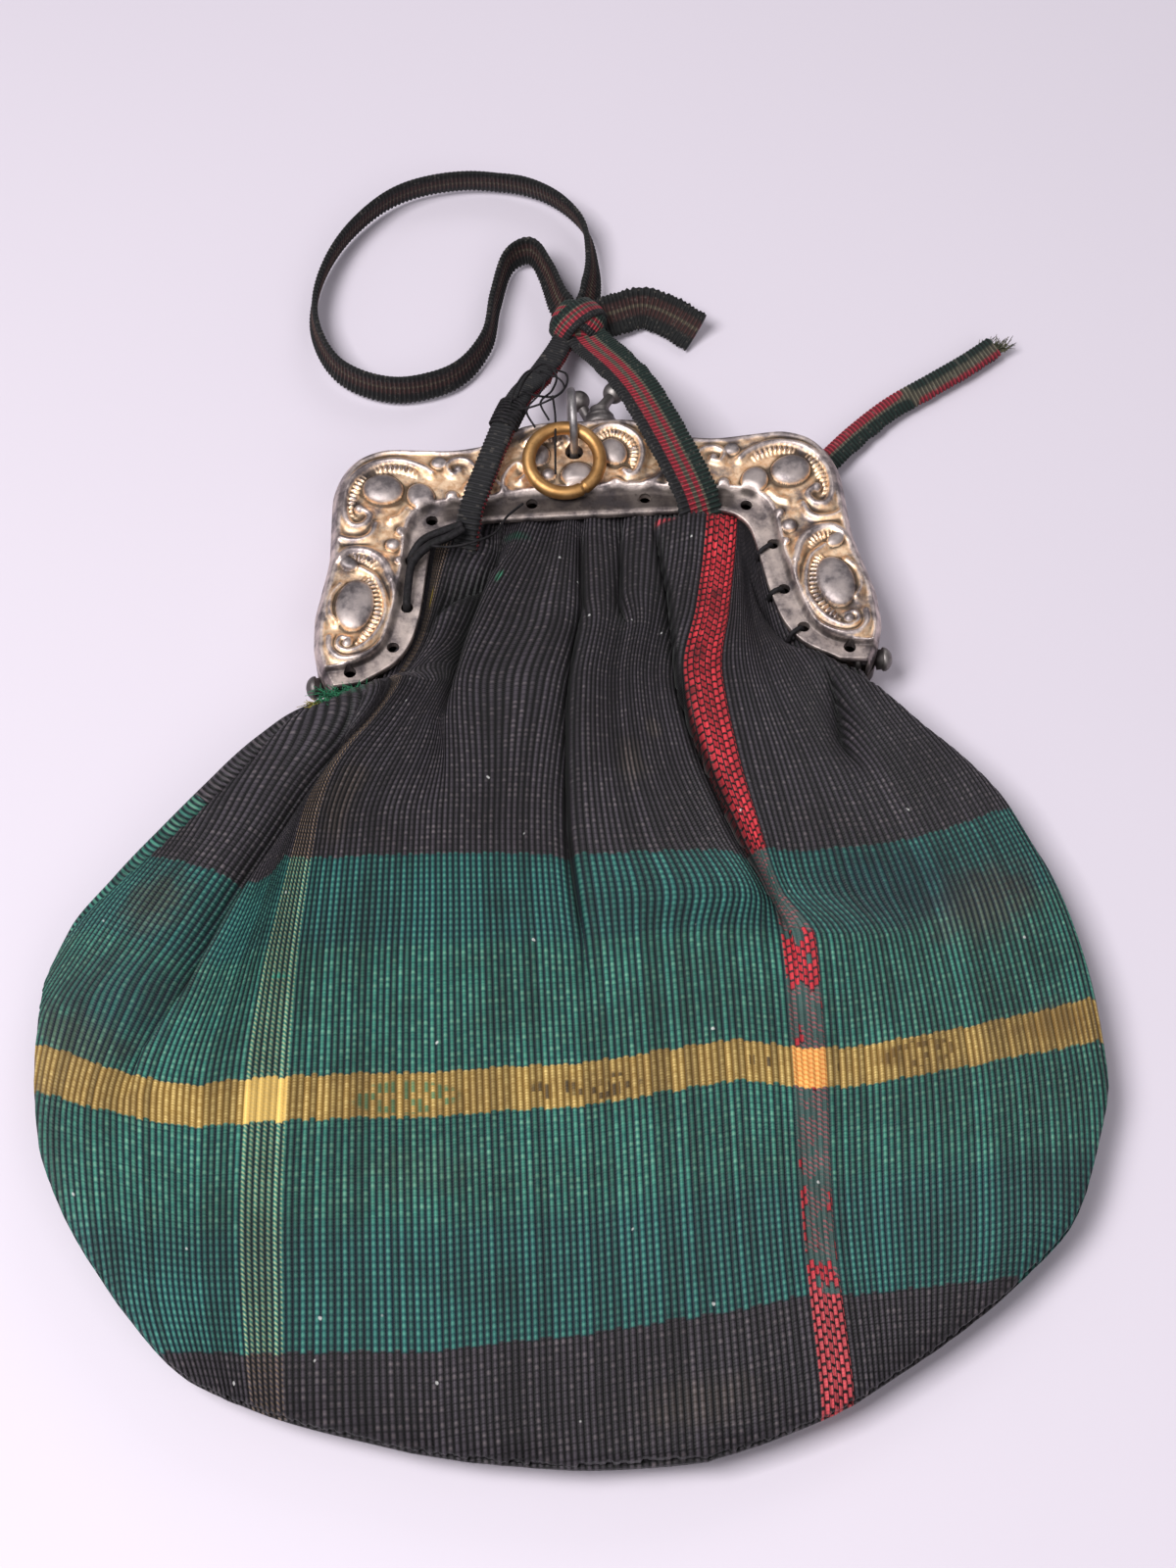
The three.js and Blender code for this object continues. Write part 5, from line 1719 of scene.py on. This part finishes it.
def stage():
    """A pale floor, soft light and the photograph's camera."""
    far = FLOOR_REACH
    mesh = bpy.data.meshes.new("floor")
    mesh.from_pydata([(-far, -far, 0), (far, -far, 0), (far, far, 0), (-far, far, 0)], [], [(0, 1, 2, 3)])
    g = Graph("pale_floor")
    mottled = g.noise(g.place(), 6)
    mesh.materials.append(g.finish(g.mix(mottled, shade(186, 178, 189), shade(191, 183, 193)), 0.6))
    floor = placed("floor", mesh)
    world = bpy.data.worlds.new("studio")
    world.use_nodes = True
    sky = world.node_tree.nodes["Background"]
    sky.inputs[0].default_value = SKY
    sky.inputs[1].default_value = SKY_POWER
    scene = bpy.context.scene
    scene.world = world
    for name, at, size, power in LAMPS:
        lamp = bpy.data.lights.new(name, "AREA")
        lamp.energy = power
        lamp.size = size
        placed(name, lamp).matrix_world = facing(at, -np.array(at))
    lens = bpy.data.cameras.new("camera")
    lens.sensor_width = SENSOR
    lens.lens = SENSOR * FOCAL_PIXELS / IMAGE_HEIGHT
    lens.clip_start = 0.01
    a = math.radians(CAMERA_AZIMUTH)
    e = math.radians(CAMERA_ELEVATION)
    aim = (-math.sin(a) * math.cos(e), math.cos(a) * math.cos(e), -math.sin(e))
    scene.camera = placed("camera", lens)
    scene.camera.matrix_world = facing(to_row(CAMERA_AT), aim)
    scene.view_settings.view_transform = "Standard"


silk = tartan()
silver = old_silver()
grey_metal = worn_metal("grey_silver", shade(176, 170, 168), shade(122, 118, 120), shade(66, 60, 60))
brass = worn_metal("brass", shade(178, 138, 92), shade(150, 112, 71), shade(96, 68, 42))
dark_metal = worn_metal("dark_silver", shade(140, 134, 132), shade(98, 93, 93), shade(52, 46, 45))
tape_cloth = woven_ribbon()
dark_thread = thread_material("dark_thread", shade(10, 9, 10), shade(34, 31, 34))
green_thread = thread_material("green_thread", shade(18, 62, 48), shade(54, 118, 84))
ribbon_thread = thread_material("ribbon_thread", shade(24, 36, 30), shade(96, 92, 72))
olive_thread = thread_material("olive_thread", shade(92, 84, 40), shade(150, 136, 70))

front = bag_front(silk)
roll = shoulder_roll(silk)
back = bag_back(silk)
frame_half("front", 1, silver)
frame_half("back", -1, silver)
clasp("front", 1, dark_metal)
clasp("back", -1, dark_metal)
rivet(1, dark_metal)
rivet(-1, dark_metal)
ring_link(grey_metal)
hanging_ring(brass)

tied = knot(tape_cloth)
wide_tape = flat_profile(RIBBON_WIDE)
dark_fold = folded_profile(RIBBON_FOLDED, 0.3, -0.5, -0.62, -1)
red_fold = folded_profile(RIBBON_FOLDED, -0.6, 0, 0.18, 1)
turned_fold = folded_profile(RIBBON_FOLDED, -0.6, 0.48, 0.46, 0.22)
left, left_line = ribbon("left", LEFT_ROUTE, dark_fold, (1, 1), tape_cloth, 1)
right, right_line = ribbon("right", RIGHT_ROUTE, wide_tape, (1, -1), tape_cloth, 2)
loop, loop_line = ribbon("loop", LOOP_ROUTE, flat_profile(RIBBON_LOOP), (-1, -1), tape_cloth, 3)
short_end, _ = ribbon("end_short", SHORT_END_ROUTE, wide_tape, (-1, 1), tape_cloth, 4)
long_end, long_line = ribbon("end_long", LONG_END_ROUTE, red_fold, (1, 1), tape_cloth, 5, turned_fold)
binding = wrap(left_line, dark_thread)
threads("frame_stitches", STITCHES, dark_thread)
threads("loose_threads", LOOSE_THREADS, dark_thread)
green_edge = fray("green_fray", GREEN_FRAY, FRAY_WAY, green_thread, "tartan_silk", 11)
olive_edge = fray("olive_fray", OLIVE_FRAY, FRAY_WAY, olive_thread, "tartan_silk", 12)
cut_edge = fray("cut_fray", CUT_FRAY, CUT_WAY, ribbon_thread, "ribbon", 13)


stage()
